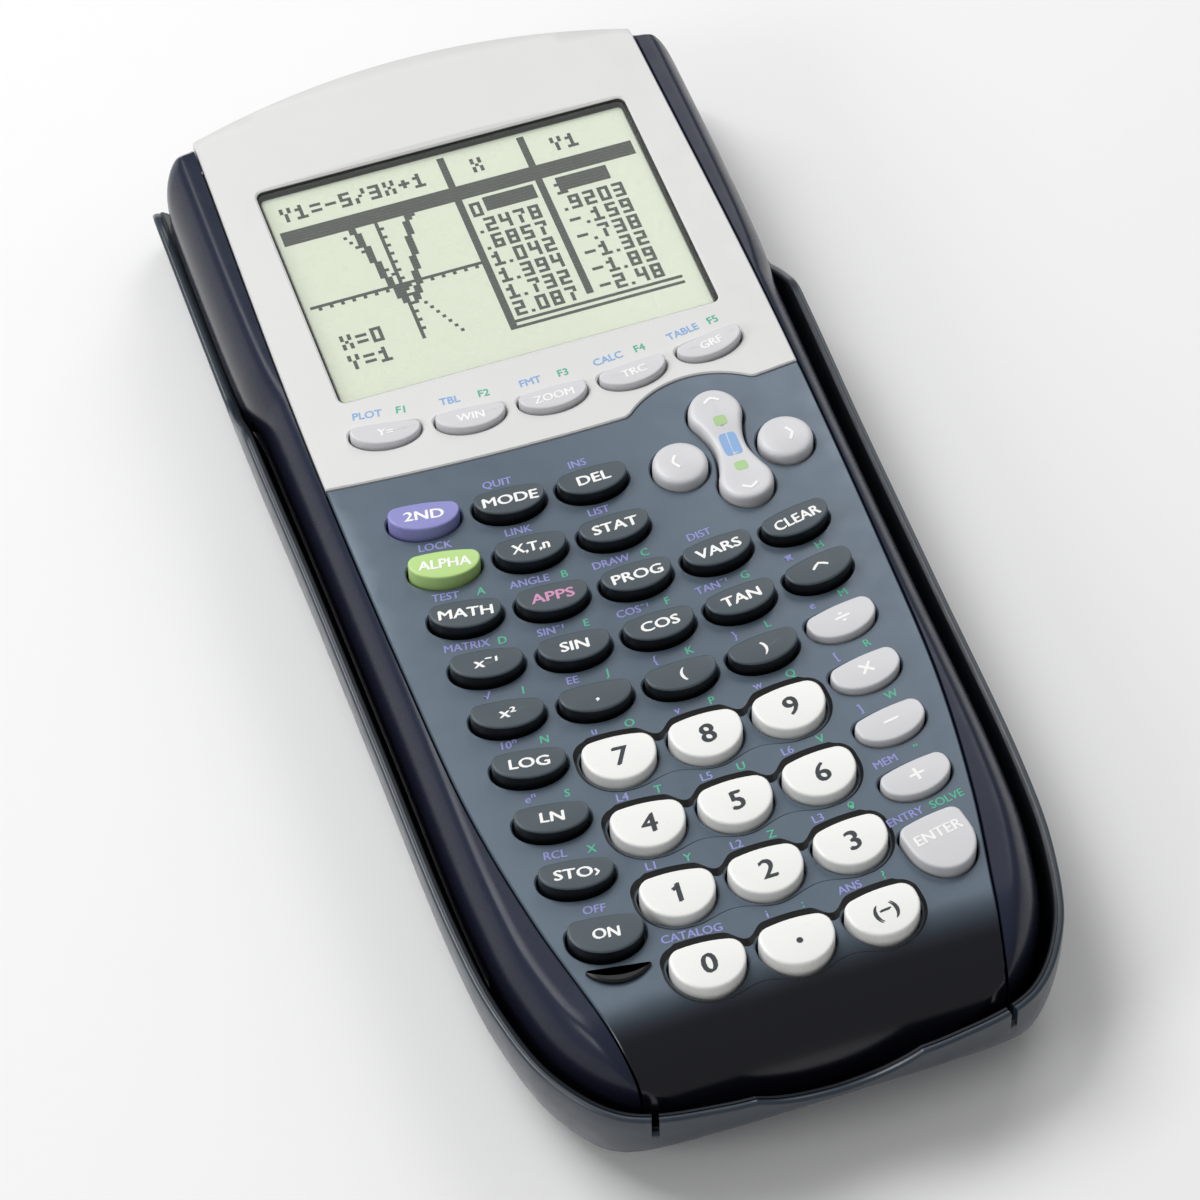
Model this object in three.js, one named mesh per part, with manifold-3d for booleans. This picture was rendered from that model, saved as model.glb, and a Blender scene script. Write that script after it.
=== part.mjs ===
// A graphing calculator with its slide cover stored on its back, in millimetres.
// +X is to the right, +Y towards the top of the calculator and +Z out of its face.
// The origin is under the middle of the part, on the plane it rests on: the back of the cover.
// Shapes are made with three.js, and manifold-3d only joins and cuts them.
import * as THREE from "three";
import { mergeVertices } from "three/addons/utils/BufferGeometryUtils.js";
import Module from "manifold-3d";

const wasm = await Module();
wasm.setup();

// Heights above the resting plane.
const FACE_Z = 23.6; // middle of the front face
const PANEL_UNDERSIDE_Z = 20.8;
const DECK_TOP_Z = 20.5; // ledge of the housing that carries the panels
const DECK_UNDERSIDE_Z = 19.0;
const SPLIT_Z = 9.8; // where the front housing meets the rear case
const RIM_Z = 16.6; // lip of the slide cover round the lower body
const LOW_RIM_Z = 9.2; // lip of the slide cover beside the screen
const CASE_BACK_Z = 2.6;
const FIT = 0.3; // clearance between neighbouring pieces

// Plan sizes.
const TOP_Y = 95;
const TOP_ARC = 0.004; // the top edge is y = TOP_Y - TOP_ARC * x^2
const BOTTOM_Y = -95;
const NOSE_START_Y = -78; // where the face begins to curve down to the lower end
const NOSE_RADIUS = FACE_Z - SPLIT_Z;
const CROWN = 1.2; // how far the face falls from its middle to its side seams
const CROWN_HALF_WIDTH = 36;
const LIP = 1.5; // wall of the slide cover
const RIM_GAP = 1.6; // dark gap between the cover's lip and the body
const LOWER_BODY_SCALE = 0.927; // width of the lower body against the cover's rim
const FINGER_DIP = { radius: 24, depth: 3 }; // scallop in the lip at the lower end
const BEYOND = 130; // further than any outline reaches

// Right half of the cover's rim, from beside the screen to the middle of the lower end.
const RIM_SIDE = [
  [43.0, BEYOND],
  [43.0, 38],
  [42.3, 8],
  [41.9, -22],
  [41.4, -56],
  [40.0, -70],
  [36.3, -82.5],
  [29, -91.3],
  [16, -94.5],
  [0, BOTTOM_Y],
];
// The housing is wider beside the screen, where the cover's wall is low.
const SHOULDER_SIDE = [
  [40.7, BEYOND],
  [40.7, 46],
  [39.8, 37],
];
// Right half of the seam between the middle panels and the glossy side rails.
const SEAM_SIDE = [
  [34.6, BEYOND],
  [35.0, 89],
  [35.8, 42],
  [35.8, 18],
  [35.1, -16],
  [34.0, -42],
  [31.3, -62],
  [27.9, -78],
  [25.2, -92],
  [22, -BEYOND],
];

// The side rails' rounded upper ends.
const RAIL_END = { x: 40.8, y: 84.5, cornerX: 35.8, cornerY: 89.9 };
// The underside sweeps up to the lower end, given as [y, z] points.
const END_SWEEP = [
  [-81, 0],
  [-89, 5],
  [-94.5, 11.5],
  [-97, 25],
];
const LOW_WALL_END = { y: 93, slopeY: 89.5, slopeZ: 4 };

// Screen.
const WINDOW = { width: 58.2, height: 43.8, y: 54.5, corner: 1.2 };
const WINDOW_PLATE = { bottom: 21.6, thickness: 0.8 };
const DISPLAY = { width: 60, height: 48, top: 20.4, glassTop: 21.3, glassGap: 0.5 };
const BEZEL_EDGE_Y = 15.4; // lower edge of the bezel is y = BEZEL_EDGE_Y + BEZEL_ARC * x^2
const BEZEL_ARC = 0.0022;
const BULGE = { x: 19.7, y: 4.9, radius: 15.1 }; // the bezel's edge bends round the arrow keys

// Keys.
const KEY_PITCH = 12.05;
const KEYPAD_X = 0.3; // middle column
const FUNCTION_PITCH = 12.2;
const ROW_ARC = 0.0037; // a row's top corners lie on y = row + ROW_ARC * x^2
const KEY_TRAVEL_ROOM = 0.35;
const FLANGE = { reach: 0.6, top: 20.4, bottom: 19.5, sideRoom: 1.2, lowestY: -80.4 };
const ROCKER_FLANGE_TOP = 19.9;
const DARK = { width: 10.2, height: 4.4, side: 1.3, corner: 1.1, arch: 0.5, rise: 2.2 };
const ON_KEY = { ...DARK, height: 5.4, side: 1.6 };
const PALE = { width: 10.2, height: 5, side: 1.8, corner: 1.3, arch: 0.4, rise: 1.2 };
const WHITE = { width: 10.2, height: 6.9, side: 2.2, corner: 1.6, arch: 0.6, rise: 1.6 };
// A crescent ridge below the on key, with its lowest point and its two arc radii.
const ON_GUARD = { x: 0.8, y: -9.2, outer: 5.5, inner: 8.8, halfWidth: 4.4, rise: 0.4 };
const ENTER = { width: 9.3, height: 9, side: 3.6, corner: 1.3, arch: 0.3, rise: 1.9 };
const FUNCTION_KEY = { width: 10.2, height: 3.8, side: 1, corner: 0.9, arch: 0.2, rise: 1 };
const ROCKER = { x: 20.65, y: 4.9, lobe: 3.9, reach: 10.5, waist: 2.3, rise: 1.9 };
const SIDE_ARROW = { width: 8, height: 7.8, offset: 7.95, y: 4, rise: 1.9 };

// Inside.
const BOARD = { top: 17.8, thickness: 1.2, inset: 4.4 };
const MEMBRANE = { bottom: 18.1, top: 18.6, domeTop: 19.2, domeRadius: 2.6 };
const CELL = { radius: 5.2, length: 44.5, pitch: 10.3, count: 4, y: 52, z: 10.4 };
const DOOR = { width: 48, height: 52, thickness: 1.6, corner: 3 };

// ---- Solids ----

function toSolid(geometry) {
  const plain = geometry.index ? geometry.toNonIndexed() : geometry.clone();
  plain.deleteAttribute("normal");
  plain.deleteAttribute("uv");
  const merged = mergeVertices(plain, 1e-4);
  return new wasm.Manifold(
    new wasm.Mesh({
      numProp: 3,
      vertProperties: new Float32Array(merged.attributes.position.array),
      triVerts: new Uint32Array(merged.index.array),
    }),
  );
}

function toGeometry(solid) {
  const { vertProperties, triVerts } = solid.getMesh();
  const geometry = new THREE.BufferGeometry();
  geometry.setAttribute("position", new THREE.BufferAttribute(vertProperties, 3));
  geometry.setIndex(new THREE.BufferAttribute(triVerts, 1));
  geometry.computeVertexNormals();
  return geometry;
}

function joined(solids) {
  return solids.reduce((whole, next) => whole.add(next));
}

// A straight prism of a shape between two heights.
function prism(shape, bottom, top, curveSegments = 8) {
  const geometry = new THREE.ExtrudeGeometry(shape, {
    depth: top - bottom,
    bevelEnabled: false,
    curveSegments,
  });
  geometry.translate(0, 0, bottom);
  return toSolid(geometry);
}

// A prism whose top and bottom edges are rounded over by an elliptic quarter.
function roundedPrism(shape, bottom, top, { inset, across, down, steps }) {
  const geometry = new THREE.ExtrudeGeometry(shape, {
    depth: top - bottom - 2 * down,
    bevelEnabled: true,
    bevelSize: across,
    bevelOffset: -across - inset,
    bevelThickness: down,
    bevelSegments: steps,
  });
  geometry.translate(0, 0, bottom + down);
  return toSolid(geometry);
}

function box(left, right, front, back, bottom, top) {
  const geometry = new THREE.BoxGeometry(right - left, back - front, top - bottom);
  geometry.translate((left + right) / 2, (front + back) / 2, (bottom + top) / 2);
  return toSolid(geometry);
}

// A prism along X of a profile given as [y, z] points.
function acrossX(profile, halfWidth) {
  const shape = new THREE.Shape(profile.map(([y, z]) => new THREE.Vector2(y, z)));
  const geometry = new THREE.ExtrudeGeometry(shape, { depth: 2 * halfWidth, bevelEnabled: false });
  geometry.rotateX(Math.PI / 2);
  geometry.rotateZ(Math.PI / 2);
  geometry.translate(-halfWidth, 0, 0);
  return toSolid(geometry);
}

// A prism along Y of a profile given as [x, z] points.
function alongY(profile, halfLength) {
  const shape = new THREE.Shape(profile.map(([x, z]) => new THREE.Vector2(x, z)));
  const geometry = new THREE.ExtrudeGeometry(shape, { depth: 2 * halfLength, bevelEnabled: false });
  geometry.rotateX(Math.PI / 2);
  geometry.translate(0, halfLength, 0);
  return toSolid(geometry);
}

// ---- Outlines ----

// A smooth curve through the points, as a list of points with a given step count per span.
function smooth(points, stepsPerSpan = 3) {
  const curve = new THREE.CatmullRomCurve3(
    points.map(([x, y]) => new THREE.Vector3(x, y, 0)),
    false,
    "centripetal",
  );
  return curve.getPoints((points.length - 1) * stepsPerSpan).map((p) => [p.x, p.y]);
}

// A shape from the right half of an outline, listed from the top to the bottom.
function mirrored(rightHalf) {
  const leftHalf = rightHalf.map(([x, y]) => [-x, y]).reverse();
  const whole = [...leftHalf, ...rightHalf].filter(
    ([x, y], i, all) => i === 0 || Math.hypot(x - all[i - 1][0], y - all[i - 1][1]) > 1e-6,
  );
  return new THREE.Shape(whole.map(([x, y]) => new THREE.Vector2(x, y)));
}

function insetSide(points, inset) {
  return points.map(([x, y]) => [Math.max(x - inset, 0), y]);
}

function topEdgeY(x) {
  return TOP_Y - TOP_ARC * x * x;
}

function bezelEdgeY(x) {
  const plain = BEZEL_EDGE_Y + BEZEL_ARC * x * x;
  const across = x - BULGE.x;
  if (Math.abs(across) >= BULGE.radius) return plain;
  return Math.max(plain, BULGE.y + Math.sqrt(BULGE.radius ** 2 - across ** 2));
}

function rowOffset(x) {
  return ROW_ARC * x * x;
}

const rimOutline = mirrored(smooth(RIM_SIDE));
const bodyOutline = mirrored([
  ...smooth(SHOULDER_SIDE),
  ...smooth(
    RIM_SIDE.slice(2).map(([x, y]) =>
      y > BOTTOM_Y / 2 ? [x - LIP - RIM_GAP, y] : [x * LOWER_BODY_SCALE, y + (LIP + RIM_GAP) * (y / BOTTOM_Y) ** 4],
    ),
  ),
]);

function seamOutline(inset) {
  return mirrored(smooth(insetSide(SEAM_SIDE, inset)));
}

// The plan of the top end: an arc, with the rails' ends rounded off.
function topEndOutline(inset) {
  const side = RAIL_END.x - inset;
  const corner = RAIL_END.cornerX;
  const shape = new THREE.Shape();
  shape.moveTo(-BEYOND, -BEYOND);
  shape.lineTo(BEYOND, -BEYOND);
  shape.lineTo(BEYOND, RAIL_END.y);
  shape.lineTo(side, RAIL_END.y);
  shape.quadraticCurveTo(side, RAIL_END.cornerY - inset, corner, topEdgeY(corner) - inset);
  for (let x = 28; x >= -28; x -= 7) shape.lineTo(x, topEdgeY(x) - inset);
  shape.lineTo(-corner, topEdgeY(corner) - inset);
  shape.quadraticCurveTo(-side, RAIL_END.cornerY - inset, -side, RAIL_END.y);
  shape.lineTo(-BEYOND, RAIL_END.y);
  return shape;
}

// Everything under the face surface: crowned from side to side and rolled down at the lower end.
// A depth makes the same surface that far below the face.
function underFace(depth, crown = CROWN) {
  const crownProfile = [
    [BEYOND, -BEYOND],
    [BEYOND, FACE_Z - depth - crown * 1.6],
  ];
  for (let x = 45; x >= -45; x -= 7.5) {
    crownProfile.push([x, FACE_Z - depth - crown * (x / CROWN_HALF_WIDTH) ** 2]);
  }
  crownProfile.push([-BEYOND, FACE_Z - depth - crown * 1.6], [-BEYOND, -BEYOND]);
  const noseProfile = [
    [BEYOND, -BEYOND],
    [BEYOND, FACE_Z - depth],
  ];
  const radius = NOSE_RADIUS - depth;
  for (let step = 0; step <= 8; step += 1) {
    const turn = (Math.PI / 2) * (step / 8);
    noseProfile.push([NOSE_START_Y - radius * Math.sin(turn), SPLIT_Z + radius * Math.cos(turn)]);
  }
  noseProfile.push([NOSE_START_Y - radius, -BEYOND]);
  return alongY(crownProfile, BEYOND).intersect(acrossX(noseProfile, BEYOND));
}

// Everything above the upswept underside, moved inwards from the cover's outer surface.
function aboveSweep(shiftY, shiftZ) {
  const sweep = END_SWEEP.map(([y, z]) => [y + shiftY, z + shiftZ]);
  return acrossX([[BEYOND, 40], [BEYOND, shiftZ], ...sweep], BEYOND);
}

// The outer form of the body, shrunk by an inset on its sides and lowered by a depth.
function bodyForm(inset, depth, bottom, crown = CROWN) {
  const edge = { inset, across: 7, down: 10, steps: 4 };
  const sides = roundedPrism(bodyOutline, bottom - 10, FACE_Z - depth, edge);
  return sides
    .intersect(prism(topEndOutline(inset), bottom, BEYOND))
    .intersect(underFace(depth, crown))
    .intersect(aboveSweep(2.5 + inset, 2.5 + inset));
}

// ---- Keys ----

// A key outline with an arched upper edge, round upper corners and a bowed lower edge.
function keyOutline({ width, height, side, corner, arch }, grow = 0) {
  const half = width / 2 + grow;
  const flat = half - corner;
  const depth = height - side + grow;
  const shape = new THREE.Shape();
  shape.moveTo(half, -side);
  shape.lineTo(half, grow - corner);
  shape.lineTo(half - corner * 0.3, grow - corner * 0.3);
  for (const x of [flat, flat / 3, -flat / 3, -flat]) {
    shape.lineTo(x, grow + arch * (1 - (x / half) ** 2));
  }
  shape.lineTo(-half + corner * 0.3, grow - corner * 0.3);
  shape.lineTo(-half, grow - corner);
  shape.lineTo(-half, -side);
  for (let step = 1; step < 8; step += 1) {
    const turn = Math.PI + (Math.PI * step) / 8;
    shape.lineTo(half * Math.cos(turn), -side + depth * Math.sin(turn));
  }
  return shape;
}

function ovalOutline({ width, height }, grow = 0) {
  const shape = new THREE.Shape();
  const count = 14;
  for (let step = 0; step < count; step += 1) {
    const turn = (2 * Math.PI * step) / count;
    const x = (width / 2 + grow) * Math.cos(turn);
    const y = (height / 2 + grow) * Math.sin(turn);
    if (step === 0) shape.moveTo(x, y);
    else shape.lineTo(x, y);
  }
  return shape;
}

// Two round lobes joined by a narrow waist.
function rockerOutline(grow = 0) {
  const right = [];
  const lobe = ROCKER.lobe + grow;
  const lobeY = ROCKER.reach - ROCKER.lobe;
  for (let step = 1; step <= 7; step += 1) {
    const turn = Math.PI / 2 - (step * Math.PI * 0.68) / 7;
    right.push([lobe * Math.cos(turn), lobeY + lobe * Math.sin(turn)]);
  }
  const waist = [[ROCKER.waist + grow, 0]];
  const lower = right.map(([x, y]) => [x, -y]).reverse();
  return mirrored([[0, ROCKER.reach + grow], ...right, ...waist, ...lower, [0, -ROCKER.reach - grow]]);
}

function dipAt(x) {
  return CROWN * (x / CROWN_HALF_WIDTH) ** 2;
}

// Every key: its name, outline, place, turn and how far it stands out of the face.
function keyPlan() {
  const plan = [];
  const add = (name, kind, x, y, colour, extra = {}) =>
    plan.push({
      name,
      x,
      y,
      colour,
      rise: kind.rise,
      turn: Math.atan(2 * ROW_ARC * x),
      outline: (grow) => keyOutline(kind, grow),
      centreY: -kind.height / 2,
      ...extra,
    });
  for (let i = 0; i < 5; i += 1) {
    const x = (i - 2) * FUNCTION_PITCH;
    add(`function_key_${i + 1}`, FUNCTION_KEY, x, 23.9 + rowOffset(x), "pale");
  }
  const darkRows = [
    { y: 6.75, shift: -0.3, names: ["second_key", "mode_key", "delete_key"] },
    { y: -2.45, shift: -0.2, names: ["alpha_key", "variable_key", "statistics_key"] },
    { y: -11.7, shift: -0.1, names: ["math_key", "apps_key", "program_key", "list_key", "clear_key"] },
    { y: -20.9, shift: 0, names: ["reciprocal_key", "sine_key", "cosine_key", "tangent_key", "power_key"] },
    { y: -30.05, shift: 0, names: ["square_key", "comma_key", "left_bracket_key", "right_bracket_key"] },
    { y: -38.95, shift: 0.1, names: ["log_key"] },
    { y: -48.5, shift: 0.15, names: ["natural_log_key"] },
    { y: -58.25, shift: 0.3, names: ["store_key"] },
    { y: -68, shift: 1, names: ["on_key"] },
  ];
  const tint = { second_key: "violet", alpha_key: "green" };
  for (const row of darkRows) {
    row.names.forEach((name, column) => {
      const x = KEYPAD_X + (column - 2) * KEY_PITCH + row.shift;
      const y = row.y + rowOffset(x);
      add(name, name === "on_key" ? ON_KEY : DARK, x, y, tint[name] ?? "dark");
    });
  }
  const paleColumn = [
    ["divide_key", -29.4],
    ["multiply_key", -38.8],
    ["subtract_key", -48.2],
    ["add_key", -57.8],
  ];
  for (const [name, y] of paleColumn) {
    const x = KEYPAD_X + 2 * KEY_PITCH;
    add(name, PALE, x, y + rowOffset(x), "pale");
  }
  add("enter_key", ENTER, 23.2, -67 + rowOffset(23.2), "pale");
  const whiteRows = [
    { y: -39.2, names: ["key_7", "key_8", "key_9"] },
    { y: -51, names: ["key_4", "key_5", "key_6"] },
    { y: -62.9, names: ["key_1", "key_2", "key_3"] },
    { y: -74.8, names: ["key_0", "decimal_key", "negative_key"] },
  ];
  for (const { y, names } of whiteRows) {
    names.forEach((name, i) => {
      const x = KEYPAD_X + (i - 1) * KEY_PITCH;
      add(name, WHITE, x, y + rowOffset(x), "white");
    });
  }
  const arrow = (name, side) =>
    add(name, SIDE_ARROW, ROCKER.x + side * SIDE_ARROW.offset, SIDE_ARROW.y, "pale", {
      outline: (grow) => ovalOutline(SIDE_ARROW, grow),
      turn: 0,
      centreY: 0,
    });
  arrow("left_arrow_key", -1);
  arrow("right_arrow_key", 1);
  add("up_down_rocker", ROCKER, ROCKER.x, ROCKER.y, "pale", {
    outline: rockerOutline,
    turn: 0,
    centreY: 0,
    flangeTop: ROCKER_FLANGE_TOP,
  });
  return plan;
}

const keys = keyPlan();

function atKey(solid, key) {
  return solid.rotate([0, 0, THREE.MathUtils.radToDeg(key.turn)]).translate([key.x, key.y, 0]);
}

// A key's cap stands out of the panel, and its flange is caught under the panel.
function keySolid(key) {
  const capTop = FACE_Z - dipAt(key.x) + key.rise;
  const flangeTop = key.flangeTop ?? FLANGE.top;
  const cap = atKey(prism(key.outline(0), FLANGE.bottom, capTop), key);
  const flange = atKey(prism(key.outline(FLANGE.reach), FLANGE.bottom, flangeTop), key);
  const room = prism(seamOutline(FLANGE.sideRoom), FLANGE.bottom - 1, FACE_Z).intersect(
    box(-50, 50, FLANGE.lowestY, 50, 0, 30),
  );
  return cap.add(flange.intersect(room));
}

// The holes that the keys pass through in a panel.
function keyHoles() {
  return joined(
    keys.map((key) => atKey(prism(key.outline(KEY_TRAVEL_ROOM), DECK_UNDERSIDE_Z, BEYOND), key)),
  );
}

// ---- Panels and casing ----

// The area of the middle panels above or below the bezel's lower edge.
function bezelArea(shift, above) {
  const edge = [];
  for (let x = -40; x <= 40; x += 2) edge.push([x, bezelEdgeY(x) + shift]);
  const farY = above ? BEYOND : -BEYOND;
  const outline = [[-BEYOND, farY], [-BEYOND, edge[0][1]], ...edge, [BEYOND, edge.at(-1)[1]], [BEYOND, farY]];
  return prism(new THREE.Shape(outline.map(([x, y]) => new THREE.Vector2(x, y))), -5, BEYOND);
}

function roundedRectangle(width, height, y, corner) {
  const shape = new THREE.Shape();
  const right = width / 2;
  const top = y + height / 2;
  const bottom = y - height / 2;
  shape.moveTo(-right + corner, bottom);
  shape.lineTo(right - corner, bottom);
  shape.quadraticCurveTo(right, bottom, right, bottom + corner);
  shape.lineTo(right, top - corner);
  shape.quadraticCurveTo(right, top, right - corner, top);
  shape.lineTo(-right + corner, top);
  shape.quadraticCurveTo(-right, top, -right, top - corner);
  shape.lineTo(-right, bottom + corner);
  shape.quadraticCurveTo(-right, bottom, -right + corner, bottom);
  return shape;
}

function middlePanels() {
  const top = bodyForm(0, 0, SPLIT_Z + FIT);
  const under = underFace(FACE_Z - PANEL_UNDERSIDE_Z, 0).intersect(prism(topEndOutline(2), 0, BEYOND));
  return top.intersect(prism(seamOutline(FIT / 2), SPLIT_Z, BEYOND)).subtract(under).subtract(keyHoles());
}

function screenBezel(panels) {
  const window = roundedRectangle(WINDOW.width, WINDOW.height, WINDOW.y, WINDOW.corner);
  const skirtEnd = box(-50, 50, 80, BEYOND, 0, 15);
  return panels
    .intersect(bezelArea(FIT / 2, true))
    .subtract(prism(window, 0, BEYOND, 3))
    .subtract(skirtEnd);
}

function keypadPanel(panels) {
  const { x, y, outer, inner, halfWidth } = ON_GUARD;
  const outerTurn = Math.asin(halfWidth / outer);
  const innerTurn = Math.asin(halfWidth / inner);
  const endY = y + outer * (1 - Math.cos(outerTurn));
  const down = -Math.PI / 2;
  const crescent = new THREE.Shape();
  crescent.absarc(x, y + outer, outer, down - outerTurn, down + outerTurn, false);
  crescent.absarc(x, endY + inner * Math.cos(innerTurn), inner, down + innerTurn, down - innerTurn, true);
  const onKey = keys.find((key) => key.name === "on_key");
  const ridge = atKey(prism(crescent, PANEL_UNDERSIDE_Z, FACE_Z + ON_GUARD.rise, 5), onKey);
  return panels.intersect(bezelArea(-FIT / 2, false)).add(ridge);
}

// Where the cover's ribs run in the sides of the housing.
function sideGroove() {
  const wall = prism(mirrored(smooth(insetSide(RIM_SIDE, -5))), 10.6, 13.2);
  const core = roundedPrism(bodyOutline, -10, 30, { inset: 1.6, across: 0.5, down: 0.5, steps: 1 });
  return wall.subtract(core).intersect(box(-60, 60, -62, 42, 0, 30));
}

function frontHousing() {
  const shell = bodyForm(0, 0, SPLIT_Z);
  const hollow = bodyForm(3.2, FACE_Z - DECK_UNDERSIDE_Z, SPLIT_Z - 1, 0);
  const panelRoom = prism(seamOutline(-FIT / 2), SPLIT_Z - 1, BEYOND).subtract(
    underFace(FACE_Z - DECK_TOP_Z, 0).intersect(prism(topEndOutline(2 + FIT), 0, BEYOND)),
  );
  const keepSkirtGap = box(-50, 50, 80, BEYOND, 0, 14.6);
  const displayRoom = prism(
    roundedRectangle(WINDOW.width + 6, WINDOW.height + 6, WINDOW.y, 2), 0, BEYOND, 3);
  const keypadRoom = prism(seamOutline(0.6), 0, BEYOND).intersect(
    box(-50, 50, -85, 28, DECK_UNDERSIDE_Z - 2, BEYOND),
  );
  return shell
    .subtract(hollow)
    .subtract(panelRoom.subtract(keepSkirtGap))
    .subtract(displayRoom)
    .subtract(keypadRoom)
    .subtract(sideGroove());
}

function rearForm(inset, bottom, top) {
  const edge = { inset: inset + 5.4, across: 3.5, down: 4.5, steps: 3 };
  return roundedPrism(rimOutline, bottom, top + 10, edge)
    .intersect(prism(topEndOutline(inset + 0.6), 0, top))
    .intersect(aboveSweep(5 + inset, CASE_BACK_Z + inset));
}

function rearCase() {
  const top = SPLIT_Z - FIT;
  const shell = rearForm(0, CASE_BACK_Z, top).subtract(rearForm(1.8, CASE_BACK_Z + 1.8, top + 5));
  const doorHole = prism(roundedRectangle(DOOR.width + 2 * FIT, DOOR.height + 2 * FIT, CELL.y, DOOR.corner), 0, 6, 3);
  const cellWalls = box(-25.5, 25.5, CELL.y - 27.5, CELL.y + 27.5, CASE_BACK_Z + 1, SPLIT_Z - FIT).subtract(
    box(-24.1, 24.1, CELL.y - 26.1, CELL.y + 26.1, 0, 30),
  );
  return shell.subtract(doorHole).add(cellWalls);
}

function batteryDoor() {
  const plate = roundedRectangle(DOOR.width, DOOR.height, CELL.y, DOOR.corner);
  return prism(plate, CASE_BACK_Z, CASE_BACK_Z + DOOR.thickness, 3);
}

// Cells side by side, joined by the contact strip that links them.
function batteryCells() {
  const cells = [];
  for (let i = 0; i < CELL.count; i += 1) {
    const cell = new THREE.CylinderGeometry(CELL.radius, CELL.radius, CELL.length, 16);
    cell.translate((i - (CELL.count - 1) / 2) * CELL.pitch, CELL.y, CELL.z);
    cells.push(toSolid(cell));
  }
  return joined(cells);
}

function slideCover() {
  const round = { across: 7, down: 14, steps: 4 };
  const outside = roundedPrism(rimOutline, 0, 60, { inset: 0, ...round }).intersect(aboveSweep(0, 0));
  const inside = roundedPrism(rimOutline, LIP, 60, { inset: LIP, ...round }).intersect(
    aboveSweep(LIP, LIP),
  );
  const wallHeights = [
    [LOW_WALL_END.y, -1],
    [LOW_WALL_END.y, LOW_WALL_END.slopeZ],
    [LOW_WALL_END.slopeY, LOW_RIM_Z],
    [49, LOW_RIM_Z],
    [39, 15.6],
    [37, RIM_Z],
    [-BEYOND, RIM_Z],
    [-BEYOND, -1],
  ];
  const ribs = prism(mirrored(smooth(insetSide(RIM_SIDE, LIP / 2))), 11.3, 12.5)
    .subtract(prism(mirrored(smooth(insetSide(RIM_SIDE, 3.8))), 0, 30))
    .intersect(box(-60, 60, -44, 34, 0, 30));
  const dip = new THREE.CylinderGeometry(FINGER_DIP.radius, FINGER_DIP.radius, 20, 32);
  dip.translate(0, BOTTOM_Y, RIM_Z + FINGER_DIP.radius - FINGER_DIP.depth);
  return outside
    .subtract(inside)
    .add(ribs)
    .intersect(acrossX(wallHeights, BEYOND))
    .subtract(toSolid(dip));
}

// ---- Inside ----

function boardOutline(inset) {
  return mirrored(smooth(insetSide(SEAM_SIDE, BOARD.inset + inset)));
}

function circuitBoard() {
  return prism(boardOutline(0), BOARD.top - BOARD.thickness, BOARD.top).intersect(box(-60, 60, -74, 87, 0, 30));
}

function displayModule() {
  const { width, height, top, glassTop, glassGap } = DISPLAY;
  const bottom = BOARD.top + FIT;
  const plate = prism(roundedRectangle(width, height, WINDOW.y, 1), bottom, top, 2);
  const glass = roundedRectangle(WINDOW.width - 2 * glassGap, WINDOW.height - 2 * glassGap, WINDOW.y, 1);
  return plate.add(prism(glass, bottom, glassTop, 2));
}

function screenWindow() {
  const { bottom, thickness } = WINDOW_PLATE;
  const plate = roundedRectangle(WINDOW.width - 2 * FIT, WINDOW.height - 2 * FIT, WINDOW.y, 1);
  return prism(plate, bottom, bottom + thickness, 3);
}

// A sheet of silicone with a dome under every key.
function keyMembrane() {
  const sheet = prism(boardOutline(0.6), MEMBRANE.bottom, MEMBRANE.top).intersect(
    box(-60, 60, -78, 27, 0, 30),
  );
  const domes = keys.map((key) => {
    const dome = new THREE.CylinderGeometry(
      MEMBRANE.domeRadius * 0.6,
      MEMBRANE.domeRadius,
      MEMBRANE.domeTop - MEMBRANE.top + 0.2,
      8,
    );
    dome.rotateX(Math.PI / 2);
    dome.translate(0, key.centreY, (MEMBRANE.domeTop + MEMBRANE.top - 0.2) / 2);
    return atKey(toSolid(dome), key);
  });
  return joined([sheet, ...domes]);
}

// ---- The assembly ----

const PAINT = {
  pale: { color: 0xdededf, roughness: 0.35 },
  dark: { color: 0x46535a, roughness: 0.45 },
  white: { color: 0xf6f6f3, roughness: 0.3 },
  violet: { color: 0x9191cd, roughness: 0.4 },
  green: { color: 0xbee18c, roughness: 0.4 },
  bezel: { color: 0xdcdcdb, roughness: 0.5 },
  keypad: { color: 0x5a6a78, roughness: 0.5, metalness: 0.3 },
  navy: { color: 0x262a40, roughness: 0.15 },
  cover: { color: 0x2b3444, roughness: 0.2 },
  casing: { color: 0x2a2e3a, roughness: 0.6 },
  window: { color: 0xe6ece2, roughness: 0.05, opacity: 0.35, transparent: true },
  lcd: { color: 0xd8dfcb, roughness: 0.3 },
  board: { color: 0x2f6b45, roughness: 0.6 },
  silicone: { color: 0xb9bcc2, roughness: 0.7 },
  cell: { color: 0x9b8a4e, roughness: 0.4, metalness: 0.6 },
};

const calculator = new THREE.Group();

function place(name, solid, paint) {
  const mesh = new THREE.Mesh(toGeometry(solid), new THREE.MeshStandardMaterial(PAINT[paint]));
  mesh.name = name;
  calculator.add(mesh);
}

const panels = middlePanels();
place("front_housing", frontHousing(), "navy");
place("screen_bezel", screenBezel(panels), "bezel");
place("keypad_panel", keypadPanel(panels), "keypad");
place("screen_window", screenWindow(), "window");
place("display_module", displayModule(), "lcd");
place("circuit_board", circuitBoard(), "board");
place("key_membrane", keyMembrane(), "silicone");
place("rear_case", rearCase(), "casing");
place("battery_door", batteryDoor(), "casing");
place("battery_cells", batteryCells(), "cell");
place("slide_cover", slideCover(), "cover");
for (const key of keys) place(key.name, keySolid(key), key.colour);

export default calculator;
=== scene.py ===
"""Looks of a graphing calculator with its slide cover on its back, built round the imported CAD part.

Lengths in this file are millimetres, and become metres when a piece is made.
"""

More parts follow.
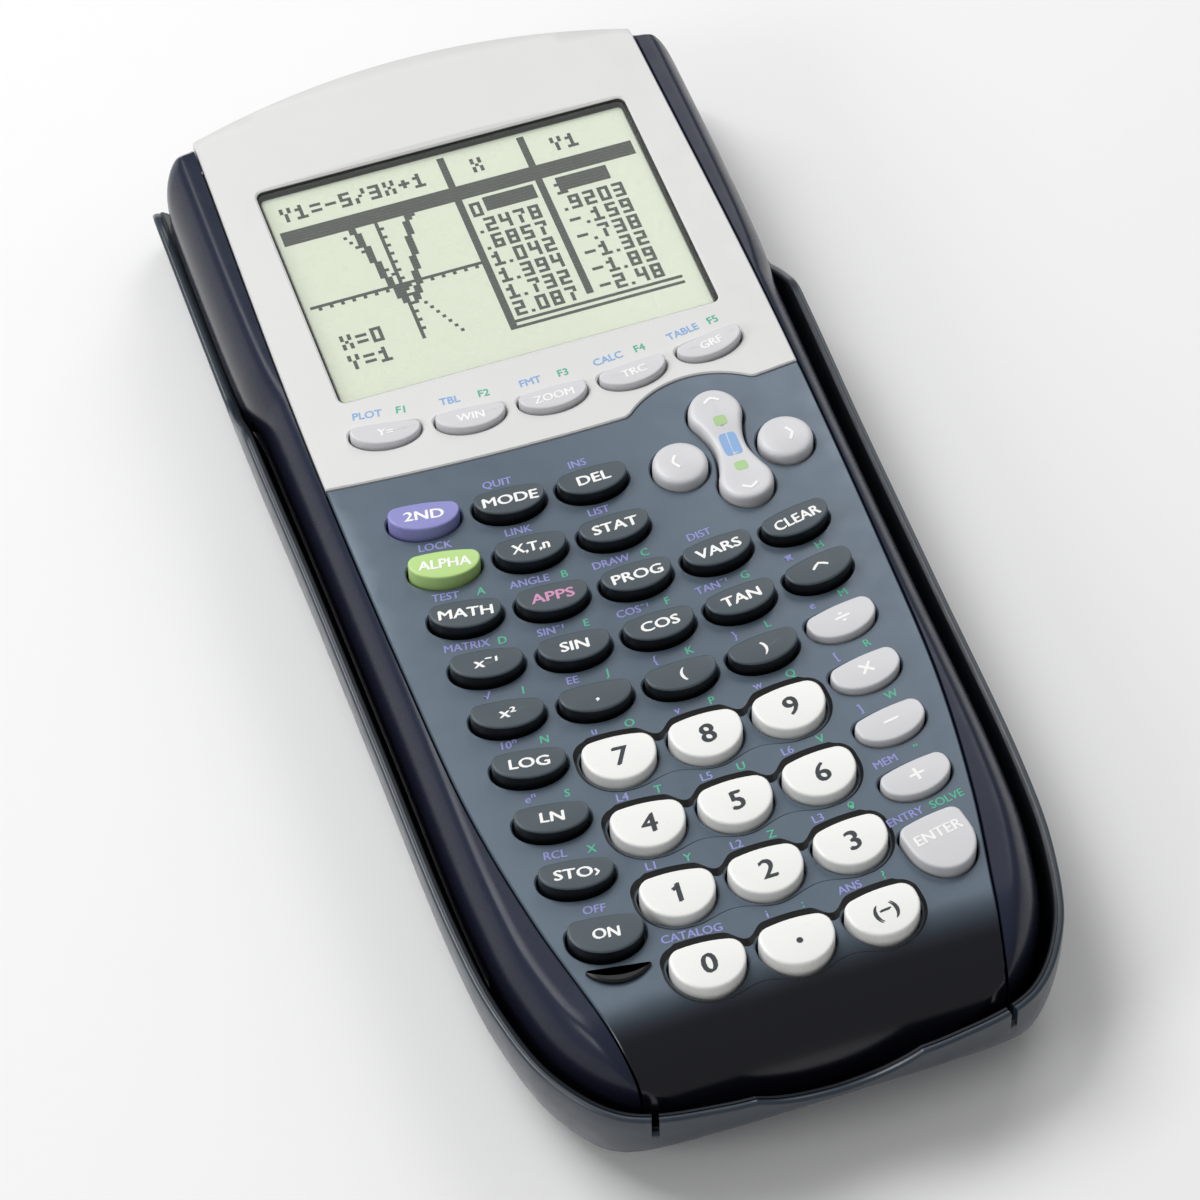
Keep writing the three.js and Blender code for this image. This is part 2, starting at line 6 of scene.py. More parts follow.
import math

import bmesh
import bpy
import numpy as np
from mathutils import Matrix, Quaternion, Vector
from mathutils.geometry import delaunay_2d_cdt


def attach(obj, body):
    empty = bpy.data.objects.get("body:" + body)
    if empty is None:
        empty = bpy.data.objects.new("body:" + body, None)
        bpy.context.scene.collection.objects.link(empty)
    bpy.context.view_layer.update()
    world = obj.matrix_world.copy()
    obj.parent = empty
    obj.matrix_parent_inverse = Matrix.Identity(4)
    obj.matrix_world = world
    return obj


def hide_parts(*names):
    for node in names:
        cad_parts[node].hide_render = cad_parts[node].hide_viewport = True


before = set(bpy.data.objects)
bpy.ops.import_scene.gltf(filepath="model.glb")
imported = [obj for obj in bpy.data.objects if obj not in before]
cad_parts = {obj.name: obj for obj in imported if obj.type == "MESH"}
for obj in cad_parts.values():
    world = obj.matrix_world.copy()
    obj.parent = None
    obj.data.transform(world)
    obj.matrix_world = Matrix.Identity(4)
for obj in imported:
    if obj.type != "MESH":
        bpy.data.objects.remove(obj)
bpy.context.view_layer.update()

MM = 0.001
FIXED = "calculator"
COVER = "slide_cover"

# ---- Sizes, as in the CAD ----

FACE_Z = 23.6
PANEL_UNDERSIDE_Z = 20.8
SPLIT_Z = 9.8
RIM_Z = 16.6
CASE_BACK_Z = 2.6
FIT = 0.3
TOP_Y = 95.0
TOP_ARC = 0.004
BOTTOM_Y = -95.0
NOSE_START_Y = -78.0
NOSE_RADIUS = FACE_Z - SPLIT_Z
CROWN = 1.2
CROWN_HALF_WIDTH = 36.0
LIP = 1.5
RIM_GAP = 1.6
LOWER_BODY_SCALE = 0.927
EDGE_ACROSS = 7.0
EDGE_DROP = 10.0
COVER_DROP = 14.0
BEYOND = 130.0

RIM_SIDE = [(43, BEYOND), (43, 38), (42.3, 8), (41.9, -22), (41.4, -56), (40, -70), (36.3, -82.5),
            (29, -91.3), (16, -94.5), (0, BOTTOM_Y)]
RAIL_END = {"x": 40.8, "y": 84.5, "corner_x": 35.8, "corner_y": 89.9}
SHOULDER_SIDE = [(40.7, BEYOND), (40.7, 46), (39.8, 37)]
SEAM_SIDE = [(34.6, BEYOND), (35, 89), (35.8, 42), (35.8, 18), (35.1, -16), (34, -42), (31.3, -62),
             (27.9, -78), (25.2, -92), (22, -BEYOND)]
END_SWEEP = [(-60, 0), (-75, 0), (-82, 1.0), (-89, 5.2), (-94.5, 11.8), (-97, 17)]
RIM_HEIGHTS = [(93, 4.2), (92.2, 6.4), (91, 8.1), (89, 9.2), (50, 9.2), (48, 9.7), (44, 12.4), (40, 15.0),
               (38.4, 16.0), (36.4, RIM_Z)]
FINGER_DIP = {"radius": 24, "depth": 3, "half_width": 20}
SLIT = {"from": 24.6, "to": 25.6, "depth": 3.4}
WINDOW = {"width": 58.2, "height": 43.8, "y": 54.5, "corner": 1.2}
BEZEL_EDGE_Y = 15.4
BEZEL_ARC = 0.0022
BULGE = {"x": 19.7, "y": 4.9, "radius": 15.1}
KEY_PITCH = 12.05
KEYPAD_X = 0.3
FUNCTION_PITCH = 12.2
ROW_ARC = 0.0037
HOLE_ROOM = 0.35

KINDS = {
    "dark": {"width": 10.2, "height": 4.4, "side": 1.3, "corner": 1.1, "arch": 0.5, "rise": 2.2,
             "edge": 0.4, "crown": 0.12, "lift": 3.0},
    "pale": {"width": 10.2, "height": 5.0, "side": 1.8, "corner": 1.3, "arch": 0.4, "rise": 1.2,
             "edge": 0.45, "crown": 0.2, "lift": 2.4},
    "white": {"width": 10.2, "height": 6.9, "side": 2.2, "corner": 1.6, "arch": 0.6, "rise": 1.6,
              "edge": 0.5, "crown": 0.2, "lift": 3.0},
    "enter": {"width": 9.3, "height": 9.0, "side": 3.6, "corner": 1.3, "arch": 0.3, "rise": 1.9,
              "edge": 0.5, "crown": 0.2, "lift": 2.3},
    "function": {"width": 10.2, "height": 3.8, "side": 1.0, "corner": 0.9, "arch": 0.2, "rise": 1.0,
                 "edge": 0.4, "crown": 0.1, "lift": 2.7},
}
KINDS["on"] = dict(KINDS["dark"], height=5.4, side=1.6)
ROCKER = {"x": 20.65, "y": 4.9, "lobe": 3.9, "reach": 10.5, "waist": 2.3, "rise": 1.9}
ON_GUARD = {"x": 0.8, "y": -9.2, "outer": 5.5, "inner": 8.8, "half_width": 4.4, "rise": 0.8}
ARROW = {"width": 8.0, "height": 7.8, "offset": 7.95, "y": 4.0, "rise": 1.9}


# ---- Curves in plan ----

def smooth(points, steps=10):
    """Centripetal Catmull-Rom curve through the points."""
    p = [np.array(q, float) for q in points]
    p = [2 * p[0] - p[1]] + p + [2 * p[-1] - p[-2]]
    made = []
    for a, b, c, d in zip(p, p[1:], p[2:], p[3:]):
        ab, bc, cd = (math.sqrt(np.linalg.norm(v)) for v in (b - a, c - b, d - c))
        leave = ((b - a) / ab - (c - a) / (ab + bc) + (c - b) / bc) * bc
        arrive = ((c - b) / bc - (d - b) / (bc + cd) + (d - c) / cd) * bc
        for k in range(steps):
            t = k / steps
            made.append(b + leave * t + (3 * (c - b) - 2 * leave - arrive) * t**2
                        + (2 * (b - c) + leave + arrive) * t**3)
    made.append(p[-2])
    return np.array(made)


def narrowed(point):
    """A point of the rim's side moved in to the body."""
    x, y = point
    if y > BOTTOM_Y / 2:
        return (x - LIP - RIM_GAP, y)
    return (x * LOWER_BODY_SCALE, y + (LIP + RIM_GAP) * (y / BOTTOM_Y) ** 4)


def whole(side):
    """Both halves of an outline from its right half, from the upper right round to the upper left."""
    left = side[::-1] * np.array([-1, 1])
    return np.vstack([side, left[1:] if abs(side[-1][0]) < 1e-6 else left])


rim_side = smooth(RIM_SIDE)
body_side = np.vstack([smooth(SHOULDER_SIDE), smooth([narrowed(q) for q in RIM_SIDE[2:]])])
seam_side = smooth(SEAM_SIDE)
rim_line, body_line = whole(rim_side), whole(body_side)
sweep_line = smooth(END_SWEEP)


def x_at(side, y):
    return float(np.interp(-y, -side[:, 1], side[:, 0]))


def y_at(side, x):
    """The lower end's Y at x, for the last spans of a side."""
    end = side[side[:, 1] < -60][::-1]
    return float(np.interp(abs(x), end[:, 0], end[:, 1]))


def seam_tip():
    """The Y where the seam runs out at the body's lower end."""
    return max(y for y in np.arange(-80, -92, -0.05) if x_at(seam_side, y) + 0.2 > x_at(body_side, y))


def distance(line, x, y):
    """How far a point is from a line of points."""
    a, d = line[:-1], np.diff(line, axis=0)
    to = np.array([x, y]) - a
    t = np.clip((to * d).sum(1) / np.maximum((d * d).sum(1), 1e-12), 0, 1)
    return float(np.sqrt(((to - d * t[:, None]) ** 2).sum(1).min()))


def top_y(x):
    """The upper end in plan: an arc with the rails' rounded corners."""
    x = abs(x)
    if x <= RAIL_END["corner_x"]:
        return TOP_Y - TOP_ARC * x * x
    t = min((x - RAIL_END["corner_x"]) / (RAIL_END["x"] - RAIL_END["corner_x"]), 1)
    s = 1 - math.sqrt(1 - t)
    start = TOP_Y - TOP_ARC * RAIL_END["corner_x"] ** 2
    return (1 - s) ** 2 * start + 2 * s * (1 - s) * RAIL_END["corner_y"] + s * s * RAIL_END["y"]


def bezel_edge(x):
    plain = BEZEL_EDGE_Y + BEZEL_ARC * x * x
    across = x - BULGE["x"]
    if abs(across) >= BULGE["radius"]:
        return plain
    return max(plain, BULGE["y"] + math.sqrt(BULGE["radius"] ** 2 - across**2))


def offset(loop, by):
    """A closed counter-clockwise loop moved inwards, or outwards for a negative distance."""
    p = np.array(loop, float)
    ahead, behind = np.roll(p, -1, 0) - p, p - np.roll(p, 1, 0)
    ahead /= np.linalg.norm(ahead, axis=1)[:, None]
    behind /= np.linalg.norm(behind, axis=1)[:, None]
    n = np.stack([-(ahead + behind)[:, 1], (ahead + behind)[:, 0]], 1)
    n /= np.linalg.norm(n, axis=1)[:, None]
    spread = np.clip(np.abs((n * np.stack([-ahead[:, 1], ahead[:, 0]], 1)).sum(1)), 0.5, 1)
    return [tuple(q) for q in p + n * (by / spread)[:, None]]


def inside(loop, points):
    """Which of the points lie inside a closed loop."""
    loop, points = np.array(loop), np.array(points)
    x, y = points[:, 0], points[:, 1]
    odd = np.zeros(len(points), bool)
    for (ax, ay), (bx, by) in zip(loop, np.roll(loop, -1, 0)):
        crosses = (ay > y) != (by > y)
        if crosses.any():
            odd ^= crosses & (x < (bx - ax) * (y - ay) / (by - ay if by != ay else 1e-9) + ax)
    return odd


def even(points, step):
    """A line of points with about equal steps."""
    p = np.array(points, float)
    run = np.concatenate([[0], np.cumsum(np.linalg.norm(np.diff(p, axis=0), axis=1))])
    at = np.linspace(0, run[-1], max(2, round(run[-1] / step) + 1))
    return [(float(np.interp(s, run, p[:, 0])), float(np.interp(s, run, p[:, 1]))) for s in at]


def rounded_rectangle(width, height, x, y, corner, grow=0.0, steps=5):
    w, h, r = width / 2 + grow, height / 2 + grow, max(corner + grow, 0.05)
    made = []
    for cx, cy, start in ((w - r, h - r, 0), (r - w, h - r, 90), (r - w, r - h, 180), (w - r, r - h, 270)):
        for k in range(steps + 1):
            turn = math.radians(start + 90 * k / steps)
            made.append((x + cx + r * math.cos(turn), y + cy + r * math.sin(turn)))
    return made


def window_outline(grow=0.0):
    return rounded_rectangle(WINDOW["width"], WINDOW["height"], 0, WINDOW["y"], WINDOW["corner"], grow)


def circle(x, y, radius, count=24):
    turns = [2 * math.pi * k / count for k in range(count)]
    return [(x + radius * math.cos(t), y + radius * math.sin(t)) for t in turns]


# ---- Heights ----

def smooth_min(a, b, width):
    blend = max(width - abs(a - b), 0) / width
    return min(a, b) - blend * blend * width / 4


def quarter(share):
    """How far a rounded edge has fallen, from 0 where share is 1 to 1 where share is 0."""
    return 1 - math.sqrt(max(0.0, 1 - (1 - min(max(share, 0), 1)) ** 2))


def face_z(x, y):
    z = FACE_Z - CROWN * (x / CROWN_HALF_WIDTH) ** 2
    past = min(max(NOSE_START_Y - y, 0) / NOSE_RADIUS, 1)
    return z - NOSE_RADIUS * (1 - math.sqrt(1 - past * past))


def body_z(x, y):
    share = min(distance(body_line, x, y) / EDGE_ACROSS, 1)
    return smooth_min(face_z(x, y), FACE_Z + 0.6 * share - EDGE_DROP * quarter(share), 0.6)


# ---- Making pieces ----

class Mould:
    """The points and faces of one piece. Points at the same place are shared."""

    def __init__(self):
        self.points, self.faces, self.paints = [], [], []
        self.index, self.normals, self.curved = {}, {}, set()

    def point(self, p):
        key = (round(p[0], 4), round(p[1], 4), round(p[2], 4))
        if key not in self.index:
            self.index[key] = len(self.points)
            self.points.append(tuple(float(c) for c in p))
        return self.index[key]

    def ring(self, points):
        return [self.point(p) for p in points]

    def face(self, corners, paint=0, curved=False):
        kept = [c for i, c in enumerate(corners) if c != corners[i - 1]]
        if len(set(kept)) == len(kept) > 2:
            if curved:
                self.curved.add(len(self.faces))
            self.faces.append(kept)
            self.paints.append(paint)

    def band(self, a, b, paint=0, closed=True):
        for i in range(len(a) if closed else len(a) - 1):
            j = (i + 1) % len(a)
            self.face([a[i], a[j], b[j], b[i]], paint)

    def loft(self, rings, paint=0, closed=True):
        for a, b in zip(rings, rings[1:]):
            self.band(a, b, paint, closed)

    def solid(self, rings, paint=0):
        """A closed body through rings of points, with flat ends."""
        made = [self.ring(r) for r in rings]
        self.loft(made, paint)
        self.face(made[0][::-1], paint)
        self.face(made[-1], paint)
        return made

    def make(self, name, body, materials, replaces=(), slot=None, sharp=35):
        mesh = bpy.data.meshes.new(name)
        mesh.from_pydata([tuple(c * MM for c in p) for p in self.points], [], self.faces)
        mesh.update()
        for material in materials:
            mesh.materials.append(material)
        mesh.polygons.foreach_set("material_index", self.paints)
        work = bmesh.new()
        work.from_mesh(mesh)
        bmesh.ops.recalc_face_normals(work, faces=work.faces)
        work.to_mesh(mesh)
        work.free()
        mesh.shade_smooth()
        mesh.set_sharp_from_angle(angle=math.radians(sharp))
        if self.normals:
            split = []
            for polygon in mesh.polygons:
                held = polygon.index in self.curved
                for v in polygon.vertices:
                    split.append(self.normals[v] if held and v in self.normals else (0, 0, 0))
            mesh.normals_split_custom_set(split)
        made = bpy.data.objects.new(name, mesh)
        bpy.context.scene.collection.objects.link(made)
        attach(made, body)
        if replaces:
            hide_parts(*replaces)
        return made


def surface_normal(height, x, y):
    e = 0.03
    slope_x = (height(x + e, y) - height(x - e, y)) / (2 * e)
    slope_y = (height(x, y + e) - height(x, y - e)) / (2 * e)
    length = math.sqrt(1 + slope_x**2 + slope_y**2)
    return (-slope_x / length, -slope_y / length, 1 / length)


def nearest_edge(loops, point):
    """Where a point that was added on a rim belongs on the edge beside that rim."""
    best = None
    for edge, rim in loops:
        a, e = np.array(rim), np.array(edge)
        d = np.roll(a, -1, 0) - a
        t = np.clip(((point - a) * d).sum(1) / np.maximum((d * d).sum(1), 1e-12), 0, 1)
        gap = ((a + d * t[:, None] - point) ** 2).sum(1)
        i = int(gap.argmin())
        if best is None or gap[i] < best[0]:
            best = (gap[i], e[i] + (np.roll(e, -1, 0)[i] - e[i]) * t[i])
    return tuple(best[1])


def plate(mould, loops, height, under, spacing, lines=(), chamfer=0.2, paint=0, wall_paint=0, place=None,
          smooth_height=None, step_shade_paint=None):
    """A plate between a surface and its underside.

    loops are (edge, rim) pairs, the outline's first: the rim is on the surface, the edge a chamfer below.
    place turns plan points and a height into points of the part. smooth_height is the surface without its
    steps, and step_shade_paint gives the paint of a face that belongs to a step, or None; step faces are
    painted dark as shade.
    """
    place = place or (lambda x, y, z: (x, y, z))
    smooth_height = smooth_height or height
    coords, edges, owners = [], [], []
    for edge, rim in loops:
        start = len(coords)
        coords += rim
        owners += edge
        edges += [(start + i, start + (i + 1) % len(rim)) for i in range(len(rim))]
    for line in lines:
        start = len(coords)
        coords += line
        edges += [(start + i, start + i + 1) for i in range(len(line) - 1)]
    fixed = np.array(coords)
    low, high = fixed.min(0), fixed.max(0)
    xs, ys = (np.arange(low[i] + spacing / 2, high[i], spacing) for i in (0, 1))
    grid = np.array([(x + (spacing / 2 if j % 2 else 0), y) for j, y in enumerate(ys) for x in xs])
    keep = inside(loops[0][1], grid)
    for _, rim in loops[1:]:
        keep &= ~inside(rim, grid)
    gap = np.array([np.sqrt(((fixed - g) ** 2).sum(1).min()) for g in grid])
    coords += [tuple(g) for g in grid[keep & (gap > spacing * 0.55)]]
    verts, _, faces, origin = delaunay_2d_cdt([Vector(c) for c in coords], edges, [], 0, 1e-7)[:4]
    middles = np.array([sum((np.array(verts[v]) for v in f), np.zeros(2)) / len(f) for f in faces])
    keep = inside(loops[0][1], middles)
    for _, rim in loops[1:]:
        keep &= ~inside(rim, middles)
    faces = [(face, tuple(middle)) for face, middle, kept in zip(faces, middles, keep) if kept]
    sides = {(a, b) for face, _ in faces for a, b in zip(face, face[1:] + face[:1])}
    border = [(a, b) for a, b in sides if (b, a) not in sides]
    top, lip, base = {}, {}, {}
    for v in {v for side in sides for v in side}:
        x, y = verts[v]
        top[v] = mould.point(place(x, y, height(x, y)))
        mould.normals[top[v]] = surface_normal(smooth_height, x, y)
        base[v] = (x, y)
    for v in {v for side in border for v in side}:
        x, y = verts[v]
        source = next((o for o in origin[v] if o < len(owners)), None)
        base[v] = ex, ey = owners[source] if source is not None else nearest_edge(loops, (x, y))
        drop = max(min(height(ex, ey), height(x, y) - chamfer), under(ex, ey) + 0.1)
        lip[v] = mould.point(place(ex, ey, drop))
    base = {v: mould.point(place(x, y, under(x, y))) for v, (x, y) in base.items()}
    for face, middle in faces:
        step = step_shade_paint(*middle) if step_shade_paint else None
        mould.face([top[v] for v in face], paint if step is None else step, curved=step is None)
        mould.face([base[v] for v in reversed(face)], wall_paint)
    for a, b in border:
        mould.face([top[b], top[a], lip[a], lip[b]], paint)
        mould.face([lip[b], lip[a], base[a], base[b]], wall_paint)


# ---- Materials ----

def material(name, colour, rough, metal=0.0, coat=0.0, coat_rough=0.05, grain=0.0, grain_size=0.25,
             mottle=0.06, wear=0.0, alpha=None, shade_ramp=None, rough_ramp=None, specular=0.5, patches=14.0):
    """Plastic, rubber or metal: fine grain in the bump, uneven roughness, a faint mottle and worn edges.

    shade_ramp is (axis, from, to, colour): painted shade, the colour darkens along an axis of the part
    towards the given colour. rough_ramp is the roughness at the ramp's far end.
    """
    made = bpy.data.materials.new(name)
    made.use_nodes = True
    tree = made.node_tree
    nodes, links = tree.nodes, tree.links
    shader = nodes["Principled BSDF"]
    shader.inputs["Metallic"].default_value = metal
    shader.inputs["Coat Weight"].default_value = coat
    shader.inputs["Coat Roughness"].default_value = coat_rough
    shader.inputs["Specular IOR Level"].default_value = specular
    where = nodes.new("ShaderNodeTexCoord").outputs["Object"]

    def noise(scale, detail=2.0):
        node = nodes.new("ShaderNodeTexNoise")
        node.inputs["Scale"].default_value = scale
        node.inputs["Detail"].default_value = detail
        links.new(where, node.inputs["Vector"])
        return node.outputs["Fac"]

    def spread(value, low, high, start=0.3, end=0.7):
        node = nodes.new("ShaderNodeMapRange")
        for socket, number in zip(("From Min", "From Max", "To Min", "To Max"), (start, end, low, high)):
            node.inputs[socket].default_value = number
        links.new(value, node.inputs["Value"])
        return node.outputs["Result"]

    def mix(share, a, b, kind="RGBA", blend="MIX"):
        node = nodes.new("ShaderNodeMix")
        node.data_type, node.blend_type = kind, blend
        pick = {"RGBA": (0, 6, 7, 2), "FLOAT": (0, 2, 3, 0)}[kind]
        if isinstance(share, float):
            node.inputs[pick[0]].default_value = share
        else:
            links.new(share, node.inputs[pick[0]])
        for socket, value in ((pick[1], a), (pick[2], b)):
            if isinstance(value, bpy.types.NodeSocket):
                links.new(value, node.inputs[socket])
            else:
                node.inputs[socket].default_value = value
        return node.outputs[pick[3]]

    def rgba(c):
        return (*c, 1.0)

    base = rgba(colour)
    along = None
    # Painted shade: the base colour blends into the darker colour along the ramp's axis.
    if shade_ramp:
        axis, start, end, other = shade_ramp
        split = nodes.new("ShaderNodeSeparateXYZ")
        links.new(where, split.inputs["Vector"])
        along = spread(split.outputs[axis], 0.0, 1.0, start * MM, end * MM)
        nodes[-1].interpolation_type = "SMOOTHSTEP"
        base = mix(along, base, rgba(other))
    if mottle:
        shade = rgba((1 - mottle / 2,) * 3)
        base = mix(spread(noise(1000 / patches), 0.0, 1.0), base, shade, blend="MULTIPLY")
    if wear:
        point = nodes.new("ShaderNodeNewGeometry").outputs["Pointiness"]
        worn = rgba(tuple(min(1, c * 1.6 + 0.04) for c in colour))
        base = mix(spread(point, 0.0, wear, 0.52, 0.62), base, worn)
    if isinstance(base, tuple):
        shader.inputs["Base Color"].default_value = base
    else:
        links.new(base, shader.inputs["Base Color"])
    uneven = spread(noise(1000 / 3.5, 4.0), rough * 0.86, min(1, rough * 1.16))
    if rough_ramp is not None and along is not None:
        uneven = mix(along, uneven, rough_ramp, "FLOAT")
    links.new(uneven, shader.inputs["Roughness"])
    if grain:
        bump = nodes.new("ShaderNodeBump")
        bump.inputs["Strength"].default_value = grain
        bump.inputs["Distance"].default_value = 0.03 * MM
        links.new(noise(1000 / grain_size, 3.0), bump.inputs["Height"])
        links.new(bump.outputs["Normal"], shader.inputs["Normal"])
    if alpha is not None:
        shader.inputs["Alpha"].default_value = alpha
    return made


def srgb(red, green, blue):
    """Linear colour from the 0 to 255 values that a screen shows."""
    return tuple(((c / 255 + 0.055) / 1.055) ** 2.4 if c > 10 else c / 3294.6 for c in (red, green, blue))


# Painted shade: the rails' navy darkens from the face (Z 23.6) down the flanks (Z 14), standing in for their
# dark reflections.
rail_paint = material("rail_paint", srgb(36, 42, 60), 0.3, coat=0.06, coat_rough=0.15, grain=0.05,
                      mottle=0.1, specular=0.2, shade_ramp=("Z", 23.6, 14, srgb(22, 22, 34)), rough_ramp=0.2)
cover_paint = material("cover_paint", srgb(36, 48, 60), 0.32, coat=0.2, coat_rough=0.15, grain=0.06,
                       mottle=0.1, wear=0.3)
# A darker copy of the cover's own colour for its inside faces: painted shade in the tray and in the gap round
# the body, with the rougher grain of the inside.
cover_inside = material("cover_inside", srgb(22, 27, 34), 0.5, grain=0.25, mottle=0.12)
casing_paint = material("casing_paint", srgb(44, 48, 60), 0.55, grain=0.6, grain_size=0.3, mottle=0.12,
                        wear=0.25)
bezel_paint = material("bezel_paint", srgb(224, 224, 223), 0.42, grain=0.14, grain_size=0.22, mottle=0.03)
# Painted shade and reflection: the blue-grey panel darkens to near-black over the lower end's roll-down (Y
# -76.5 to -84).
keypad_paint = material("keypad_paint", srgb(88, 103, 117), 0.36, metal=0.25, coat=0.15, coat_rough=0.2,
                        grain=0.16, grain_size=0.2, mottle=0.08, shade_ramp=("Y", -76.5, -84, srgb(17, 18, 28)),
                        rough_ramp=0.22)
panel_edge = material("panel_edge", srgb(12, 14, 18), 0.5, grain=0.1)
# Painted shade: near-black for the walls of the window's recess.
recess_shade_black = material("recess_shade_black", srgb(9, 10, 12), 0.55, grain=0.15)
lcd_glass = material("lcd_glass", srgb(219, 227, 206), 0.28, grain=0.02, mottle=0.03, patches=30)
lcd_ink = material("lcd_ink", srgb(40, 48, 42), 0.5, mottle=0.1)
lens_clear = material("lens_clear", srgb(235, 240, 235), 0.04, mottle=0.0, alpha=0.05, specular=0.4)
key_slate = material("key_slate", srgb(70, 82, 89), 0.38, grain=0.12, mottle=0.06, wear=0.35)
# Near-black painted shade: the dark keys' walls, the steps round the white keys' channels and the ridge below
# the on key, where shade falls.
painted_shade_black = material("painted_shade_black", srgb(10, 11, 13), 0.34, grain=0.08, mottle=0.05)
key_white = material("key_white", srgb(247, 247, 244), 0.3, grain=0.05, mottle=0.02)
key_pale = material("key_pale", srgb(216, 216, 219), 0.34, grain=0.06, mottle=0.03)
key_violet = material("key_violet", srgb(146, 146, 208), 0.34, grain=0.08, mottle=0.05)
key_green = material("key_green", srgb(190, 226, 142), 0.34, grain=0.08, mottle=0.05)
ink_white = material("ink_white", srgb(252, 252, 250), 0.5, mottle=0.04)
ink_dark = material("ink_dark", srgb(44, 52, 58), 0.5, mottle=0.08)
ink_pink = material("ink_pink", srgb(214, 150, 190), 0.5, mottle=0.05)
ink_violet = material("ink_violet", srgb(148, 150, 212), 0.5, mottle=0.05)
ink_blue = material("ink_blue", srgb(140, 178, 224), 0.5, mottle=0.05)
ink_teal = material("ink_teal", srgb(84, 186, 150), 0.5, mottle=0.05)
ink_lime = material("ink_lime", srgb(176, 210, 150), 0.5, mottle=0.05)
rubber = material("rubber", srgb(30, 30, 32), 0.75, grain=0.5, grain_size=0.4, mottle=0.1)
steel = material("steel", srgb(150, 150, 152), 0.3, metal=1.0, grain=0.2, grain_size=0.5, wear=0.3)
board_paint = material("board_paint", srgb(38, 100, 66), 0.5, grain=0.3, mottle=0.2)
silicone_paint = material("silicone_paint", srgb(176, 179, 184), 0.7, grain=0.2)
cell_paint = material("cell_paint", srgb(150, 134, 84), 0.4, metal=0.6, grain=0.1)



# ---- Body ----

JACK_X, USB_X, PORT_Z = -9.5, 5.5, 12.4
END_WALL = {"half_width": 34.1, "top": 14.9}


def end_fall(x, y, radius, drop):
    return drop * quarter((top_y(x) - y) / radius)


def rails():
    """Both glossy side rails with the wall of the upper end between them."""
    mould = Mould()
    tip_y = seam_tip()
    rows = list(np.arange(89.6, 46, -1.6)) + list(np.arange(46, 34, -0.8)) + list(np.arange(34, -60, -2.2))
    rows += list(np.arange(-60, -80, -1)) + list(np.arange(-80, tip_y, -0.45)) + [tip_y + 0.05]
    shares = [1 - (1 - k / 26) ** 2.2 for k in range(27)]
    floor = SPLIT_Z + 0.1
    for side in (-1, 1):
        rings = []
        for row, y_row in enumerate(rows):
            inner = x_at(seam_side, y_row) + FIT / 2
            outer = x_at(body_side, y_row)
            tall, dent = [], 1.5 if -62 < y_row < 42 else 0.01
            for share in [0.0] + [0.012 + 0.988 * s for s in shares]:
                x = inner + (outer - inner) * share
                near_end = max(0.0, 1 - (89.6 - y_row) / 14)
                y = y_row + (top_y(x) - 89.9) * near_end
                z = body_z(x, y) - end_fall(x, y + 0.3, 2.2, 1.6)
                tall.append((side * x, y, z if share else z - 0.2))
            x, y, z = tall[-1]
            z = max(min(z, 13.5), floor + 3.6)
            tall[-1] = (x, y, z)
            dent = min(dent, (outer - inner) * 0.3)
            deep = x - side * dent
            wall = [(x, y, 13.2), (deep, y, 13.1), (deep, y, 10.7), (x, y, 10.6), (x, y, floor)]
            base = [(q[0], q[1], floor) for q in tall[:-1]][::-1]
            rings.append(tall + wall + base)
        mould.solid(rings)
    ports = [tuple(circle(JACK_X, PORT_Z, radius, 20) for radius in (2.0, 2.35)),
             tuple(rounded_rectangle(7.2, 3.2, USB_X, PORT_Z, 0.9, grow) for grow in (0, 0.3))]
    end, tall = END_WALL["half_width"], END_WALL["top"]
    corners = [(end, floor), (end, tall), (-end, tall), (-end, floor), (end, floor)]
    sides = []
    for start, stop, step in zip(corners, corners[1:], (2, 3, 2, 3)):
        sides += even([start, stop], step)[:-1]
    loops = [(sides, offset(sides, 0.15)), *ports]
    plate(mould, loops, lambda u, v: 0.0, lambda u, v: -2.0, 3.0, chamfer=0.15,
          place=lambda u, v, w: (u, top_y(u) - 0.02 + w, v))
    mould.normals.clear()
    return mould.make("housing_rails", FIXED, [rail_paint], ["front_housing"], "rail_gloss")


def on_seam(y_from, y_to, inset, step):
    """Points of the right seam, moved inwards."""
    ys = np.linspace(y_from, y_to, max(2, round(abs(y_to - y_from) / step) + 1))
    return [(x_at(seam_side, y) - inset, float(y)) for y in ys]


def hole(kind_outline, grow=HOLE_ROOM, rim=0.2):
    return kind_outline(grow), kind_outline(grow + rim)


def bezel():
    """The pale frame round the screen, down to the keypad."""
    mould = Mould()
    right = on_seam(bezel_edge(35.6) + FIT / 2, top_y(34.6), FIT / 2, 2.5)
    end_x = right[-1][0]
    top = [(x, top_y(x)) for x in np.linspace(end_x, -end_x, 41)]
    left = [(-x, y) for x, y in right[::-1]]
    lower = [(x, bezel_edge(x) + FIT / 2) for x in np.linspace(-right[0][0], right[0][0], 96)]
    outline = right[:-1] + top[:-1] + left[:-1] + lower[:-1]
    holes = [(window_outline(), window_outline(0.3))]
    holes += [hole(k["outline"]) for k in keys if k["kind"] == "function"]

    def under(x, y):
        return 15.1 if top_y(x) - y < 0.05 else PANEL_UNDERSIDE_Z

    def height(x, y):
        return body_z(x, y) - end_fall(x, y, 0.7, 0.6)

    plate(mould, [(outline, offset(outline, 0.2)), *holes], height, under, 2.4, wall_paint=0)
    return mould.make("bezel_face", FIXED, [bezel_paint], ["screen_bezel"], "bezel_grey")


